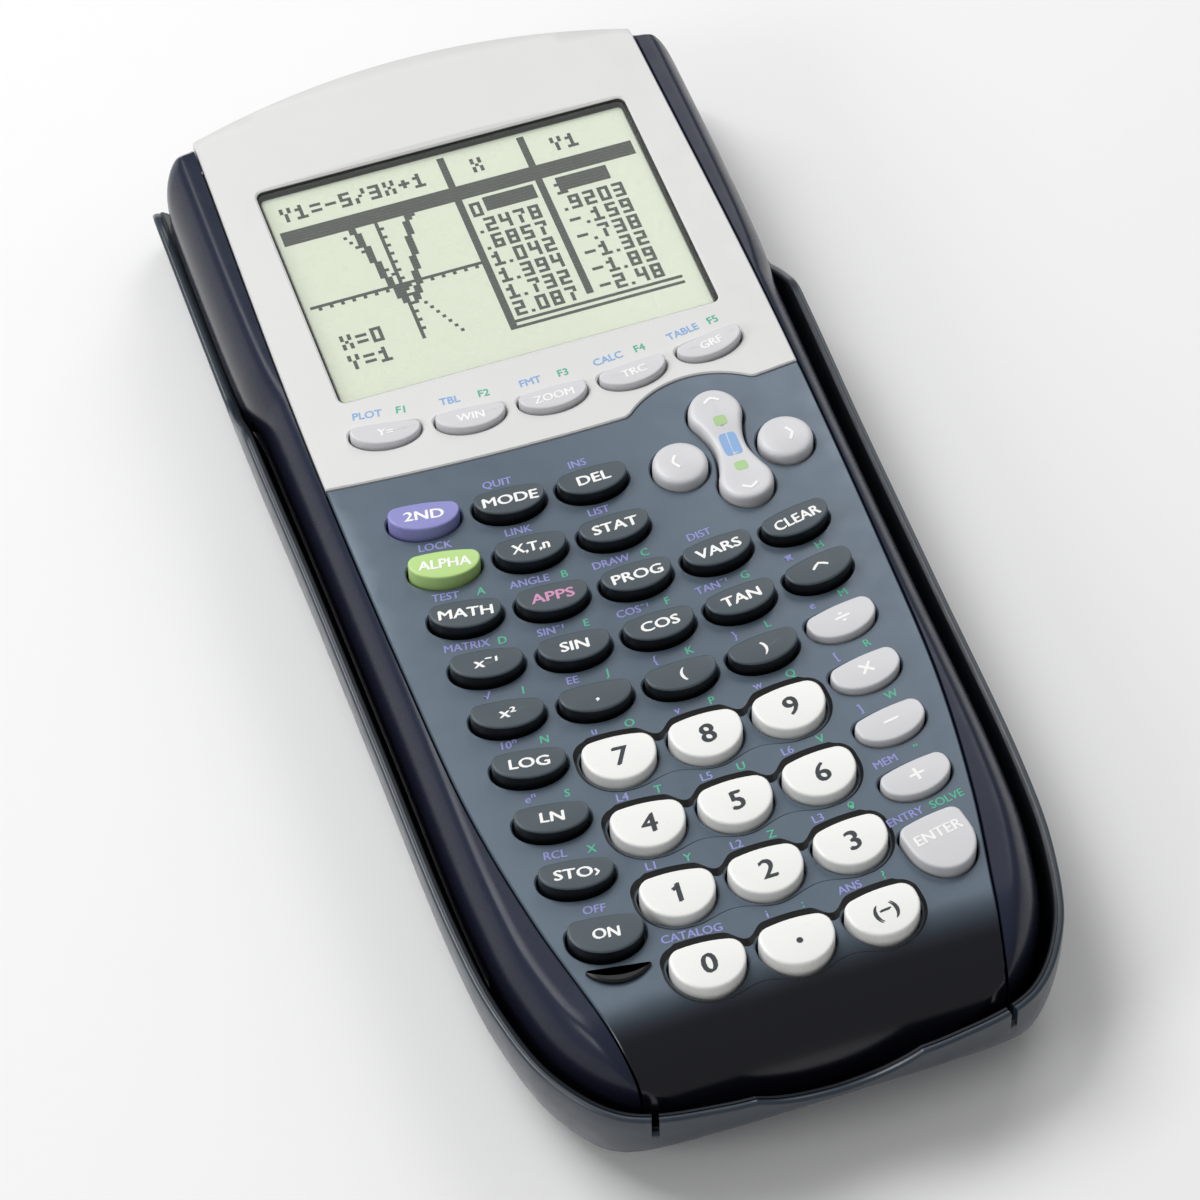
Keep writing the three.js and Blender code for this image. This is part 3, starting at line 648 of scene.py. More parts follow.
# Channels that the rows of white keys sit in, as distances out from the keys' outlines to the inner and outer
# line of the step round them: below, beside and above the keys. The step is deep above the keys and a fine
# line below them, and its faces are painted near-black as shade.
CHANNEL_INNER = (0.75, 0.5, 0.9)
CHANNEL_OUTER = (1.0, 1.0, 1.75)
CHANNEL = {"deep": 0.8, "shallow": 0.12, "dip": 1.5, "swell": 1.3}


def channel_line(row_keys, reach):
    """The outline of a row's channel, counter-clockwise from the first key's lower middle."""
    below, beside, above = reach
    first, last = row_keys[0], row_keys[-1]
    kind = KINDS["white"]
    half, corner = kind["width"] / 2 + beside, kind["corner"] + beside
    depth = kind["height"] - kind["side"] + below

    def wave(x, low):
        nearest = min(row_keys, key=lambda k: abs(k["x"] - x))
        away = abs(x - nearest["x"]) / (KEY_PITCH / 2)
        base = nearest["row_y"] + ROW_ARC * x * x
        if low:
            return base - kind["height"] - below + CHANNEL["swell"] * (1 - math.cos(math.pi * away)) / 2
        t = min(max((away - 0.55) / 0.45, 0), 1)
        bow = kind["arch"] * max(0, 1 - ((x - nearest["x"]) / (kind["width"] / 2)) ** 2)
        return base + above + bow - CHANNEL["dip"] * t * t * (3 - 2 * t)

    lower = [(x, wave(x, True)) for x in np.linspace(first["x"], last["x"], 49)]
    upper = [(x, wave(x, False)) for x in np.linspace(last["x"], first["x"], 49)]

    def around(key, sign):
        made = []
        for k in range(1, 12):
            turn = math.pi / 2 * k / 12
            made.append((sign * half * math.sin(turn), -kind["side"] - depth * math.cos(turn)))
        made += [(sign * half, -kind["side"]), (sign * half, above - corner)]
        for k in range(1, 6):
            turn = math.pi / 2 * k / 6
            x, y = half - corner + corner * math.cos(turn), above - corner + corner * math.sin(turn)
            made.append((sign * x, y))
        for s in (1.0, 0.5):
            made.append((sign * (half - corner) * s, above + kind["arch"] * (1 - (0.6 * s) ** 2)))
        return [at_key(key, q) for q in made]

    right, left = around(last, 1), around(first, -1)[::-1]
    return lower + right + upper + left


def at_key(key, point):
    x, y = point
    c, s = math.cos(key["turn"]), math.sin(key["turn"])
    return (key["x"] + c * x - s * y, key["y"] + s * x + c * y)


def guard_outline(grow):
    """The crescent ridge below the on key, moved inwards by grow."""
    outer, half, y = ON_GUARD["outer"] - grow, ON_GUARD["half_width"] - grow, ON_GUARD["y"] + grow
    inner = ON_GUARD["inner"]
    rise_to_end = ON_GUARD["outer"] - math.sqrt(ON_GUARD["outer"] ** 2 - ON_GUARD["half_width"] ** 2)
    turn, back = math.asin(half / outer), math.asin(half / inner)
    loop = [(outer * math.sin(t), y + outer - outer * math.cos(t)) for t in np.linspace(-turn, turn, 17)]
    lift = ON_GUARD["y"] + rise_to_end + grow * 0.2 + inner * math.cos(back)
    for t in np.linspace(back, -back, 15):
        loop.append((inner * math.sin(t), lift - inner * math.cos(t) - grow))
    return [at_key(key_of["on_key"], (x + ON_GUARD["x"], y)) for x, y in loop]


def keypad():
    """The blue-grey panel round the keys, which rolls down into the lower end, painted down to near-black
    there as shade.
    """
    mould = Mould()
    tip_y = seam_tip()
    top = [(x, bezel_edge(x) - FIT / 2) for x in np.linspace(35.6, -35.6, 96)]
    left = [(-x, y) for x, y in on_seam(bezel_edge(35.6) - FIT / 2, tip_y + 0.1, FIT / 2, 2.0)]
    corner = left[-1][0]
    bottom = [(x, y_at(body_side, x)) for x in np.linspace(corner, -corner, 57)]
    right = [(-x, y) for x, y in left[::-1]]
    outline = top[:-1] + left[:-1] + bottom[:-1] + right[:-1]
    rim = offset(outline, 0.2)
    for i in range(len(top) + len(left) - 1, len(top) + len(left) + len(bottom) - 4):
        rim[i] = (outline[i][0], outline[i][1] + 0.04)
    lines = []
    for inset in (0.12, 0.3, 0.6, 1.0, 1.6, 2.4, 3.4, 4.6, 6.0):
        across = np.linspace(-1, 1, 49) * (x_at(seam_side, y_at(body_side, corner) + inset) - 0.5)
        lines.append([(x, y_at(body_side, x) + inset) for x in across])
    channels = []
    whites = [k for k in keys if k["kind"] == "white"]
    for start in range(0, len(whites), 3):
        row = whites[start:start + 3]
        inner, outer = channel_line(row, CHANNEL_INNER), channel_line(row, CHANNEL_OUTER)
        channels.append((row, inner, outer))
        lines += [inner + inner[:1], outer + outer[:1]]
    holes = [hole(k["outline"]) for k in keys if k["kind"] != "function"]
    bounds = [(np.array(outer).min(0), np.array(outer).max(0)) for _, _, outer in channels]

    def channel_depth(x, y):
        for (row, inner, outer), (low, high) in zip(channels, bounds):
            if low[0] <= x <= high[0] and low[1] <= y <= high[1]:
                if inside(outer, [(x, y)])[0]:
                    row_y = row[0]["row_y"] + ROW_ARC * x * x
                    down = min(max((row_y + 1.2 - y) / (KINDS["white"]["height"] + 2.2), 0), 1)
                    full = CHANNEL["deep"] + (CHANNEL["shallow"] - CHANNEL["deep"]) * down
                    if inside(inner, [(x, y)])[0]:
                        return full
                    into, out = (distance(np.array(line + line[:1]), x, y) for line in (inner, outer))
                    return full * out / max(into + out, 1e-6)
        return 0.0

    def height(x, y):
        return body_z(x, y) - channel_depth(x, y)

    def under(x, y):
        return max(min(PANEL_UNDERSIDE_Z, body_z(x, y) - 1.8), SPLIT_Z + 0.05)

    # Painted shade: faces on a channel's step take the near-black material.
    def step_shade_paint(x, y):
        for _, inner, outer in channels:
            if inside(outer, [(x, y)])[0] and not inside(inner, [(x, y)])[0]:
                return 1
        return None

    plate(mould, [(outline, rim), *holes], height, under, 2.2, lines, smooth_height=body_z,
          step_shade_paint=step_shade_paint)
    # The ridge below the on key is painted near-black all over as shade.
    loops = [guard_outline(grow) for grow in (0.0, 0.25)]
    base = face_z(*loops[0][8])
    top = base + ON_GUARD["rise"]
    mould.solid([[(*q, z) for q in loop] for loop, z in ((loops[0], base - 0.5), (loops[0], top - 0.2),
                                                         (loops[1], top))], paint=1)
    return mould.make("keypad_face", FIXED, [keypad_paint, painted_shade_black], ["keypad_panel"], "keypad_blue")


# ---- Keys ----

def flat_topped(kind, grow, steps=18):
    """A key's outline: an arched top edge, round upper corners and a bowed lower edge."""
    half, corner = kind["width"] / 2 + grow, max(kind["corner"] + grow * 0.5, 0.2)
    side_y, depth = -kind["side"], kind["height"] - kind["side"] + grow
    run = half - corner

    def raised(x, y):
        return (x, grow + y + kind["arch"] * (1 - (x / half) ** 2))

    turns = [math.pi / 2 * k / 5 for k in range(6)]
    made = [raised(run + corner * math.cos(t), corner * (math.sin(t) - 1)) for t in turns]
    made += [raised(run * s, 0) for s in (0.66, 0.33, 0, -0.33, -0.66)]
    made += [raised(-run - corner * math.sin(t), corner * (math.cos(t) - 1)) for t in turns]
    for k in range(steps + 1):
        turn = math.pi + math.pi * k / steps
        made.append((half * math.cos(turn), side_y + depth * math.sin(turn)))
    return made


def oval(grow, count=36):
    turns = [2 * math.pi * k / count for k in range(count)]
    half_width, half_height = ARROW["width"] / 2 + grow, ARROW["height"] / 2 + grow
    return [(half_width * math.cos(t), half_height * math.sin(t)) for t in turns]


def two_lobed(grow):
    lobe, lobe_y = ROCKER["lobe"] + grow, ROCKER["reach"] - ROCKER["lobe"]
    right = []
    for k in range(15):
        turn = math.pi / 2 - k * math.pi * 0.68 / 14
        right.append((lobe * math.cos(turn), lobe_y + lobe * math.sin(turn)))
    x, y = right[-1]
    for k in range(1, 5):
        t = k / 5
        right.append((x + (ROCKER["waist"] + grow - x) * math.sin(math.pi / 2 * t), y * (1 - t)))
    right.append((ROCKER["waist"] + grow, 0.0))
    right += [(a, -b) for a, b in right[-2::-1]]
    left = [(-a, b) for a, b in right[1:-1][::-1]]
    return (right + left)[::-1]


def key_plan():
    plan = []

    def add(name, kind, x, row_y, finish, legend, size, second="", letter=""):
        plan.append({"name": name, "kind": kind, "x": x, "row_y": row_y, "y": row_y + ROW_ARC * x * x,
                     "turn": math.atan(2 * ROW_ARC * x), "finish": finish, "legend": legend, "size": size,
                     "second": second, "letter": letter})

    functions = [("Y=", "PLOT"), ("WIN", "TBL"), ("ZOOM", "FMT"), ("TRC", "CALC"), ("GRF", "TABLE")]
    for i, (legend, second) in enumerate(functions):
        add(f"function_key_{i + 1}", "function", (i - 2) * FUNCTION_PITCH, 23.9, "pale", legend, 1.9, second,
            f"F{i + 1}")
    rows = [
        (6.75, -0.3, [("second_key", "2ND", "", ""), ("mode_key", "MODE", "QUIT", ""),
                      ("delete_key", "DEL", "INS", "")]),
        (-2.45, -0.2, [("alpha_key", "ALPHA", "LOCK", ""), ("variable_key", "X,T,n", "LINK", ""),
                       ("statistics_key", "STAT", "LIST", "")]),
        (-11.7, -0.1, [("math_key", "MATH", "TEST", "A"), ("apps_key", "APPS", "ANGLE", "B"),
                       ("program_key", "PROG", "DRAW", "C"), ("list_key", "VARS", "DIST", ""),
                       ("clear_key", "CLEAR", "", "")]),
        (-20.9, 0, [("reciprocal_key", "x⁻¹", "MATRIX", "D"), ("sine_key", "SIN", "SIN⁻¹", "E"),
                    ("cosine_key", "COS", "COS⁻¹", "F"), ("tangent_key", "TAN", "TAN⁻¹", "G"),
                    ("power_key", "^", "π", "H")]),
        (-30.05, 0, [("square_key", "x²", "√", "I"), ("comma_key", ",", "EE", "J"),
                    ("left_bracket_key", "(", "{", "K"), ("right_bracket_key", ")", "}", "L")]),
        (-38.95, 0.1, [("log_key", "LOG", "10ⁿ", "N")]),
        (-48.5, 0.15, [("natural_log_key", "LN", "eⁿ", "S")]),
        (-58.25, 0.3, [("store_key", "STO›", "RCL", "X")]),
        (-68.0, 1.0, [("on_key", "ON", "OFF", "")]),
    ]
    finishes = {"second_key": "violet", "alpha_key": "green"}
    for row_y, shift, members in rows:
        for column, (name, legend, second, letter) in enumerate(members):
            x = KEYPAD_X + (column - 2) * KEY_PITCH + shift
            kind = "on" if name == "on_key" else "dark"
            add(name, kind, x, row_y, finishes.get(name, "dark"), legend, 2.3, second, letter)
    for name, row_y, legend, second, letter in (("divide_key", -29.4, "÷", "e", "M"),
                                                ("multiply_key", -38.8, "×", "[", "R"),
                                                ("subtract_key", -48.2, "−", "]", "W"),
                                                ("add_key", -57.8, "+", "MEM", "”")):
        add(name, "pale", KEYPAD_X + 2 * KEY_PITCH, row_y, "pale", legend, 4.4, second, letter)
    add("enter_key", "enter", 23.2, -67.0, "pale", "ENTER", 2.3, "ENTRY", "SOLVE")
    numbers = [
        (-39.2, [("key_7", "7", "u", "O"), ("key_8", "8", "v", "P"), ("key_9", "9", "w", "Q")]),
        (-51.0, [("key_4", "4", "L4", "T"), ("key_5", "5", "L5", "U"), ("key_6", "6", "L6", "V")]),
        (-62.9, [("key_1", "1", "L1", "Y"), ("key_2", "2", "L2", "Z"), ("key_3", "3", "L3", "θ")]),
        (-74.8, [("key_0", "0", "CATALOG", ""), ("decimal_key", "·", "i", ":"),
                 ("negative_key", "(−)", "ANS", "?")]),
    ]
    for row_y, members in numbers:
        for column, (name, legend, second, letter) in enumerate(members):
            add(name, "white", KEYPAD_X + (column - 1) * KEY_PITCH, row_y, "white", legend,
                2.9 if name == "negative_key" else 4.3, second, letter)
    for key in plan:
        kind = KINDS[key["kind"]]
        key["rise"], key["middle_y"] = kind["rise"], -kind["height"] / 2
        key["outline"] = lambda grow, key=key, kind=kind: [at_key(key, q) for q in flat_topped(kind, grow)]
    middle, away = ROCKER["x"], ARROW["offset"]
    rest = [("left_arrow_key", "arrow", middle - away, ARROW, "<", oval),
            ("right_arrow_key", "arrow", middle + away, ARROW, ">", oval),
            ("up_down_rocker", "rocker", middle, ROCKER, "", two_lobed)]
    for name, kind, x, sizes, legend, shape in rest:
        key = {"name": name, "kind": kind, "x": x, "y": sizes["y"], "turn": 0.0, "rise": sizes["rise"],
               "finish": "pale", "legend": legend, "second": "", "letter": "", "middle_y": 0.0}
        key["outline"] = lambda grow, key=key, shape=shape: [at_key(key, q) for q in shape(grow)]
        plan.append(key)
    return plan


keys = key_plan()
key_of = {k["name"]: k for k in keys}
# The materials of a cap's top and walls, and of its legend. The dark keys' walls are near-black painted
# shade.
FINISHES = {"dark": (key_slate, painted_shade_black, ink_white), "pale": (key_pale, key_pale, ink_white),
            "white": (key_white, key_white, ink_dark), "violet": (key_violet, key_violet, ink_white),
            "green": (key_green, key_green, ink_white)}


CAP_BOTTOM_Z = 19.6


def cap_top(key, x, y):
    """Height of a key's top: flat with a slight crown, or dished on the arrow keys."""
    kind = KINDS.get(key["kind"])
    top = FACE_Z - CROWN * (key["x"] / CROWN_HALF_WIDTH) ** 2 + key["rise"]
    if kind:
        across = (x - key["x"]) / (kind["width"] / 2)
        along = (y - key["y"] - key["middle_y"]) / (kind["height"] / 2)
        return top - kind["crown"] * min(1, 0.6 * across**2 + 0.6 * along**2)
    if key["kind"] == "arrow":
        return top - 0.35 * min(1, ((x - key["x"]) ** 2 + (y - key["y"]) ** 2) / 3.6**2)
    return top - 0.5 * math.exp(-((y - key["y"]) / 3.2) ** 2) - 0.3 * min(1, ((x - key["x"]) / 3.4) ** 2)


def cap(key):
    """One key's cap: straight sides, a rounded edge and the top."""
    mould = Mould()
    edge = KINDS[key["kind"]]["edge"] if key["kind"] in KINDS else 1.0
    middle = at_key(key, (0, key["middle_y"]))
    walls = key["outline"](0)
    rings = [[(*q, CAP_BOTTOM_Z) for q in walls]]
    levels = [(0.0, 1.0), (0.04, 0.62), (0.15, 0.3), (0.34, 0.1), (0.62, 0.015), (1.0, 0.0)]
    for across, down in levels:
        loop = key["outline"](-edge * across)
        rings.append([(*q, cap_top(key, *q) - edge * down) for q in loop])
    last = [q[:2] for q in rings[-1]]
    for share in (0.7, 0.4, 0.15):
        loop = [(middle[0] + (x - middle[0]) * share, middle[1] + (y - middle[1]) * share) for x, y in last]
        if key["kind"] == "rocker":
            loop = [(middle[0] + (x - middle[0]) * share, y) for x, y in last]
        rings.append([(*q, cap_top(key, *q)) for q in loop])
    made = [mould.ring(r) for r in rings]
    # The walls and the foot of the rounded edge take the finish's second material: near-black painted shade
    # on dark keys.
    mould.loft(made[:3], paint=1)
    mould.loft(made[2:])
    mould.face(made[0][::-1], paint=1)
    mould.face(made[-1])
    name, finish = key["name"], key["finish"]
    return mould.make(f"{name}_cap", name, FINISHES[finish][:2], [name], f"key_{finish}", sharp=40)


# ---- Printed marks ----

def lettering(mould, text, size, at, height, turn=0.0, bold=0.0, wide=1.0, thick=0.05):
    """Adds text as thin raised print on a surface. at is where its middle goes in plan.

    bold is how far two copies of the text stand apart, which makes its strokes heavier.
    """
    curve = bpy.data.curves.new("text", "FONT")
    curve.body, curve.size, curve.resolution_u = text, size, 3
    curve.align_x = curve.align_y = "CENTER"
    curve.extrude = thick / 2
    source = bpy.data.objects.new("text", curve)
    bpy.context.scene.collection.objects.link(source)
    mesh = source.evaluated_get(bpy.context.evaluated_depsgraph_get()).to_mesh()
    c, s = math.cos(turn), math.sin(turn)
    for copy in (-0.5, 0.5) if bold else (0,):
        moved = []
        for v in mesh.vertices:
            x, y = v.co.x * wide + bold * copy, v.co.y + bold * copy * 0.5
            px, py = at[0] + c * x - s * y, at[1] + s * x + c * y
            moved.append(mould.point((px, py, height(px, py) + 0.012 + 0.008 * copy + v.co.z)))
        for polygon in mesh.polygons:
            mould.face([moved[v] for v in polygon.vertices])
    source.to_mesh_clear()
    bpy.data.objects.remove(source)
    bpy.data.curves.remove(curve)


def stroke(mould, points, width, height, thick=0.06):
    """A raised line of even width with pointed joins."""
    p = np.array(points, float)
    d = np.gradient(p, axis=0)
    n = np.stack([-d[:, 1], d[:, 0]], 1) / np.linalg.norm(d, axis=1)[:, None]
    left, right = p + n * width / 2, p - n * width / 2
    rings = []
    for z in (-0.05, thick):
        rings.append([(x, y, height(x, y) + z) for x, y in [*left, *right[::-1]]])
    made = [mould.ring(r) for r in rings]
    mould.band(*made)
    count = len(p)
    for ring in made:
        for i in range(count - 1):
            mould.face([ring[i], ring[i + 1], ring[2 * count - 2 - i], ring[2 * count - 1 - i]])


def chevron(x, y, turn, reach=1.15):
    points = [(reach * a, reach * b) for a, b in ((-1, 0), (-0.5, 0.36), (0, 0.62), (0.5, 0.36), (1, 0))]
    c, s = math.cos(turn), math.sin(turn)
    return [(x + c * a - s * b, y + s * a + c * b) for a, b in points]


def legend(key):
    """What is printed on a key."""
    mould = Mould()
    ink = ink_pink if key["name"] == "apps_key" else FINISHES[key["finish"]][2]

    def height(x, y):
        return cap_top(key, x, y)

    if key["kind"] == "rocker":
        for way in (-1, 1):
            turn = 0 if way > 0 else math.pi
            stroke(mould, chevron(key["x"], key["y"] + way * 8.0, turn), 0.42, height)
    elif key["kind"] == "arrow":
        turn = math.pi / 2 if key["legend"] == "<" else -math.pi / 2
        shift = -0.35 if key["legend"] == "<" else 0.35
        stroke(mould, chevron(key["x"] + shift, key["y"], turn), 0.42, height)
    elif key["legend"] == "·":
        x, y = at_key(key, (0, key["middle_y"] + 0.2))
        mould.solid([[(*q, height(x, y) + z) for q in circle(x, y, 0.45, 16)] for z in (-0.05, 0.04)])
    elif key["legend"] == "^":
        x, y = at_key(key, (0, key["middle_y"] + 0.2))
        stroke(mould, chevron(x, y, key["turn"], 1.2), 0.36, height)
    else:
        shift = {"enter": 1.4, "function": 0.1, "white": 0.25}.get(key["kind"], 0.25)
        at = at_key(key, (0, key["middle_y"] + shift))
        long = len(key["legend"])
        wide = 1.25 if key["kind"] == "dark" and long < 5 else 1.05
        if key["name"] == "key_1":
            flag = ((-0.75, 0.95), (-0.35, 1.2), (0.05, 1.55))
            stroke(mould, [at_key(key, (x, key["middle_y"] + y)) for x, y in flag], 0.5, height)
        bold = {"white": 0.24, "dark": 0.14, "on": 0.14, "enter": 0.1}.get(key["kind"], 0.08)
        lettering(mould, key["legend"], key["size"], at, height, key["turn"], bold, wide)
    return mould.make(f"{key['name']}_legend", key["name"], [ink])


def panel_marks():
    """The small second and letter marks over the keys, and the marks on the bezel."""
    marks = {"violet": Mould(), "teal": Mould(), "blue": Mould(), "bezel_teal": Mould()}
    for key in keys:
        on_bezel = key["kind"] == "function"
        for text, share, paint in ((key["second"], -0.22, "blue" if on_bezel else "violet"),
                                   (key["letter"], 0.27, "bezel_teal" if on_bezel else "teal")):
            if not text:
                continue
            kind = KINDS[key["kind"]]
            if not key["letter"]:
                share = -0.08
            if key["name"] == "enter_key":
                share = -0.2 if share < 0 else 0.5
            at = at_key(key, (share * kind["width"], kind["lift"]))
            lettering(marks[paint], text, 1.8, at, body_z, key["turn"], 0.07)
    marks["violet"].make("panel_marks_violet", FIXED, [ink_violet])
    marks["teal"].make("panel_marks_teal", FIXED, [ink_teal])
    marks["blue"].make("bezel_marks_blue", FIXED, [ink_blue])
    marks["bezel_teal"].make("bezel_marks_teal", FIXED, [ink_teal])


def rocker_marks():
    """The green marks on the rocker's ends and the blue one at its middle."""
    rocker = key_of["up_down_rocker"]
    green, blue = Mould(), Mould()

    def height(x, y):
        return cap_top(rocker, x, y)

    for way in (-1, 1):
        x, y = rocker["x"], rocker["y"] + way * 4.4
        loop = rounded_rectangle(1.9, 1.7, x, y, 0.5)
        green.solid([[(*q, height(*q) + z) for q in loop] for z in (-0.05, 0.03)])
    loop = rounded_rectangle(2.5, 4.2, rocker["x"], rocker["y"], 0.6)
    blue.solid([[(*q, height(*q) + z) for q in loop] for z in (-0.05, 0.03)])
    green.make("rocker_marks_green", "up_down_rocker", [ink_lime])
    blue.make("rocker_mark_blue", "up_down_rocker", [ink_blue])


# ---- Screen ----

LCD_Z = 21.3
LENS_Z = (21.6, 22.4)
PIXEL, PIXEL_GAP = 0.575, 0.03
ACROSS, DOWN = 96, 64
PICTURE_LEFT, PICTURE_TOP = -ACROSS * PIXEL / 2, 74.4 + PIXEL
# The display's characters, as rows of three pixels read as binary numbers.
SMALL = {
    "0": (7, 5, 5, 5, 7), "1": (2, 6, 2, 2, 7), "2": (7, 1, 7, 4, 7), "3": (7, 1, 7, 1, 7),
    "4": (5, 5, 7, 1, 1), "5": (7, 4, 7, 1, 7), "6": (7, 4, 7, 5, 7), "7": (7, 1, 2, 2, 2),
    "8": (7, 5, 7, 5, 7), "9": (7, 5, 7, 1, 7), ".": (0, 0, 0, 0, 4), "-": (0, 0, 7, 0, 0),
    "+": (0, 2, 7, 2, 0), "=": (0, 7, 0, 7, 0), "/": (1, 1, 2, 4, 4), "X": (5, 5, 2, 5, 5),
    "Y": (5, 5, 2, 2, 2),
}


def screen_picture():
    """A split picture, a graph beside a table of numbers, as the set of dark pixels."""
    dark = set()

    def line(x0, y0, x1, y1, wide=1, gap=0):
        count = max(abs(x1 - x0), abs(y1 - y0), 1)
        for k in range(count + 1):
            if gap and k % gap:
                continue
            x, y = x0 + (x1 - x0) * k / count, y0 + (y1 - y0) * k / count
            dark.update((round(x) + i, round(y)) for i in range(wide))

    def write(text, x, y):
        for char in text:
            for row, bits in enumerate(SMALL[char]):
                dark.update((x + c, y + row) for c in range(3) if bits & (4 >> c))
            x += 2 if char == "." else 4

    write("Y1=-5/3X+1", 2, 3)
    write("X", 54, 3)
    write("Y1", 76, 3)
    for y in range(11, 16):
        line(0, y, 95, y)
    line(46, 0, 46, 62, 2)
    line(68, 0, 68, 57, 2)
    line(0, 38, 45, 38)
    for x in range(2, 45, 3):
        line(x, 39, x, 39)
    line(24, 16, 24, 57)
    for y in range(18, 57, 3):
        line(25, y, 25, y)
    for x in range(17, 33):
        y, after = (max(16, round(45 - 0.62 * (v - 24.5) ** 2)) for v in (x, x + 1))
        line(x, y, x + 1, after, 2)
    line(15, 18, 34, 58, 1, 2)
    write("X=0", 4, 50)
    write("Y=1", 4, 57)
    for x in range(53, 67):
        line(x, 17, x, 21)
        line(x + 20, 17, x + 20, 21)
    left = ["0", ".2478", ".6857", "1.042", "1.394", "1.732", "2.087"]
    right = ["1", ".9203", "-.159", "-.738", "-1.32", "-1.89", "-2.48"]
    for row, (a, b) in enumerate(zip(left, right)):
        write(a, 49, 18 + 6 * row)
        write(b, 72, 18 + 6 * row)
    line(48, 60, 92, 60)
    line(48, 62, 92, 62)
    return {(x, y) for x, y in dark if 0 <= x < ACROSS and 0 <= y < DOWN}


def display_pixels():
    """Each run of dark pixels in a row as one thin block."""
    ink = Mould()
    dark = screen_picture()
    for y in range(DOWN):
        x = 0
        while x < ACROSS:
            if (x, y) not in dark:
                x += 1
                continue
            start = x
            while (x, y) in dark:
                x += 1
            x0, x1 = PICTURE_LEFT + start * PIXEL, PICTURE_LEFT + x * PIXEL - PIXEL_GAP
            y0, y1 = PICTURE_TOP - (y + 1) * PIXEL + PIXEL_GAP, PICTURE_TOP - y * PIXEL
            ring = [(x0, y0), (x1, y0), (x1, y1), (x0, y1)]
            ink.solid([[(*q, z) for q in ring] for z in (LCD_Z - 0.03, LCD_Z + 0.02)])
    ink.make("display_pixels", FIXED, [lcd_ink])


def screen():
    """The display's glass, the clear window over it and a near-black liner round the window's opening,
    painted as shade.
    """
    glass = Mould()
    plate_size, glass_size = (60, 48, 0, WINDOW["y"], 1.0), (57.2, 42.8, 0, WINDOW["y"], 0.8)
    levels = [(plate_size, 0, 18.2), (plate_size, 0, 20.4), (glass_size, 0, 20.42),
              (glass_size, 0, LCD_Z - 0.15), (glass_size, -0.15, LCD_Z)]
    glass.solid([[(*q, z) for q in rounded_rectangle(*size, grow)] for size, grow, z in levels])
    glass.make("display_glass", FIXED, [lcd_glass], ["display_module"], "lcd_green")
    lens = Mould()
    size = (57.6, 43.2, 0, WINDOW["y"], 1.0)
    levels = [(-0.1, LENS_Z[0]), (0, LENS_Z[0] + 0.1), (0, LENS_Z[1] - 0.15), (-0.15, LENS_Z[1])]
    lens.solid([[(*q, z) for q in rounded_rectangle(*size, grow)] for grow, z in levels])
    made = lens.make("window_lens", FIXED, [lens_clear], ["screen_window"], "window_clear")
    made.visible_shadow = False
    # Painted shade: a near-black liner on the window opening's walls, where the recess is in shade.
    surround = Mould()
    loops = [window_outline(grow) for grow in (-0.02, -0.24)]
    shape = [(loops[0], 19.0), (loops[0], 23.25), (loops[1], 23.15), (loops[1], 19.0), (loops[0], 19.0)]

    def level(loop, z):
        return [(x, y, z - CROWN * (x / CROWN_HALF_WIDTH) ** 2 if z > 22 else z) for x, y in loop]

    rings = [surround.ring(level(loop, z)) for loop, z in shape]
    surround.loft(rings)
    surround.make("window_surround", FIXED, [recess_shade_black])


# ---- Slide cover ----

def cover_z(x, y):
    """The outside of the cover's back."""
    edge = COVER_DROP * quarter(distance(rim_line, x, y) / EDGE_ACROSS)
    sweep = float(np.interp(-y, -sweep_line[:, 0], sweep_line[:, 1]))
    return -smooth_min(-edge, -sweep, 2.0) if min(edge, sweep) > 0.01 else max(edge, sweep)


def cover_inner_z(x, y):
    inset = max(distance(rim_line, x, y) - LIP, 0)
    edge = LIP + COVER_DROP * quarter(inset / EDGE_ACROSS)
    sweep = LIP + float(np.interp(-y - LIP, -sweep_line[:, 0], sweep_line[:, 1]))
    return -smooth_min(-edge, -sweep, 1.0)


def rim_height(x, y):
    z = float(np.interp(-y, [-h[0] for h in RIM_HEIGHTS], [h[1] for h in RIM_HEIGHTS]))
    if y < -80:
        across = min(abs(x), FINGER_DIP["half_width"])
        lowest = RIM_Z - FINGER_DIP["depth"]
        z = min(z, lowest + FINGER_DIP["radius"] - math.sqrt(FINGER_DIP["radius"] ** 2 - across**2))
        if SLIT["from"] < abs(x) < SLIT["to"]:
            z -= SLIT["depth"]
    return z


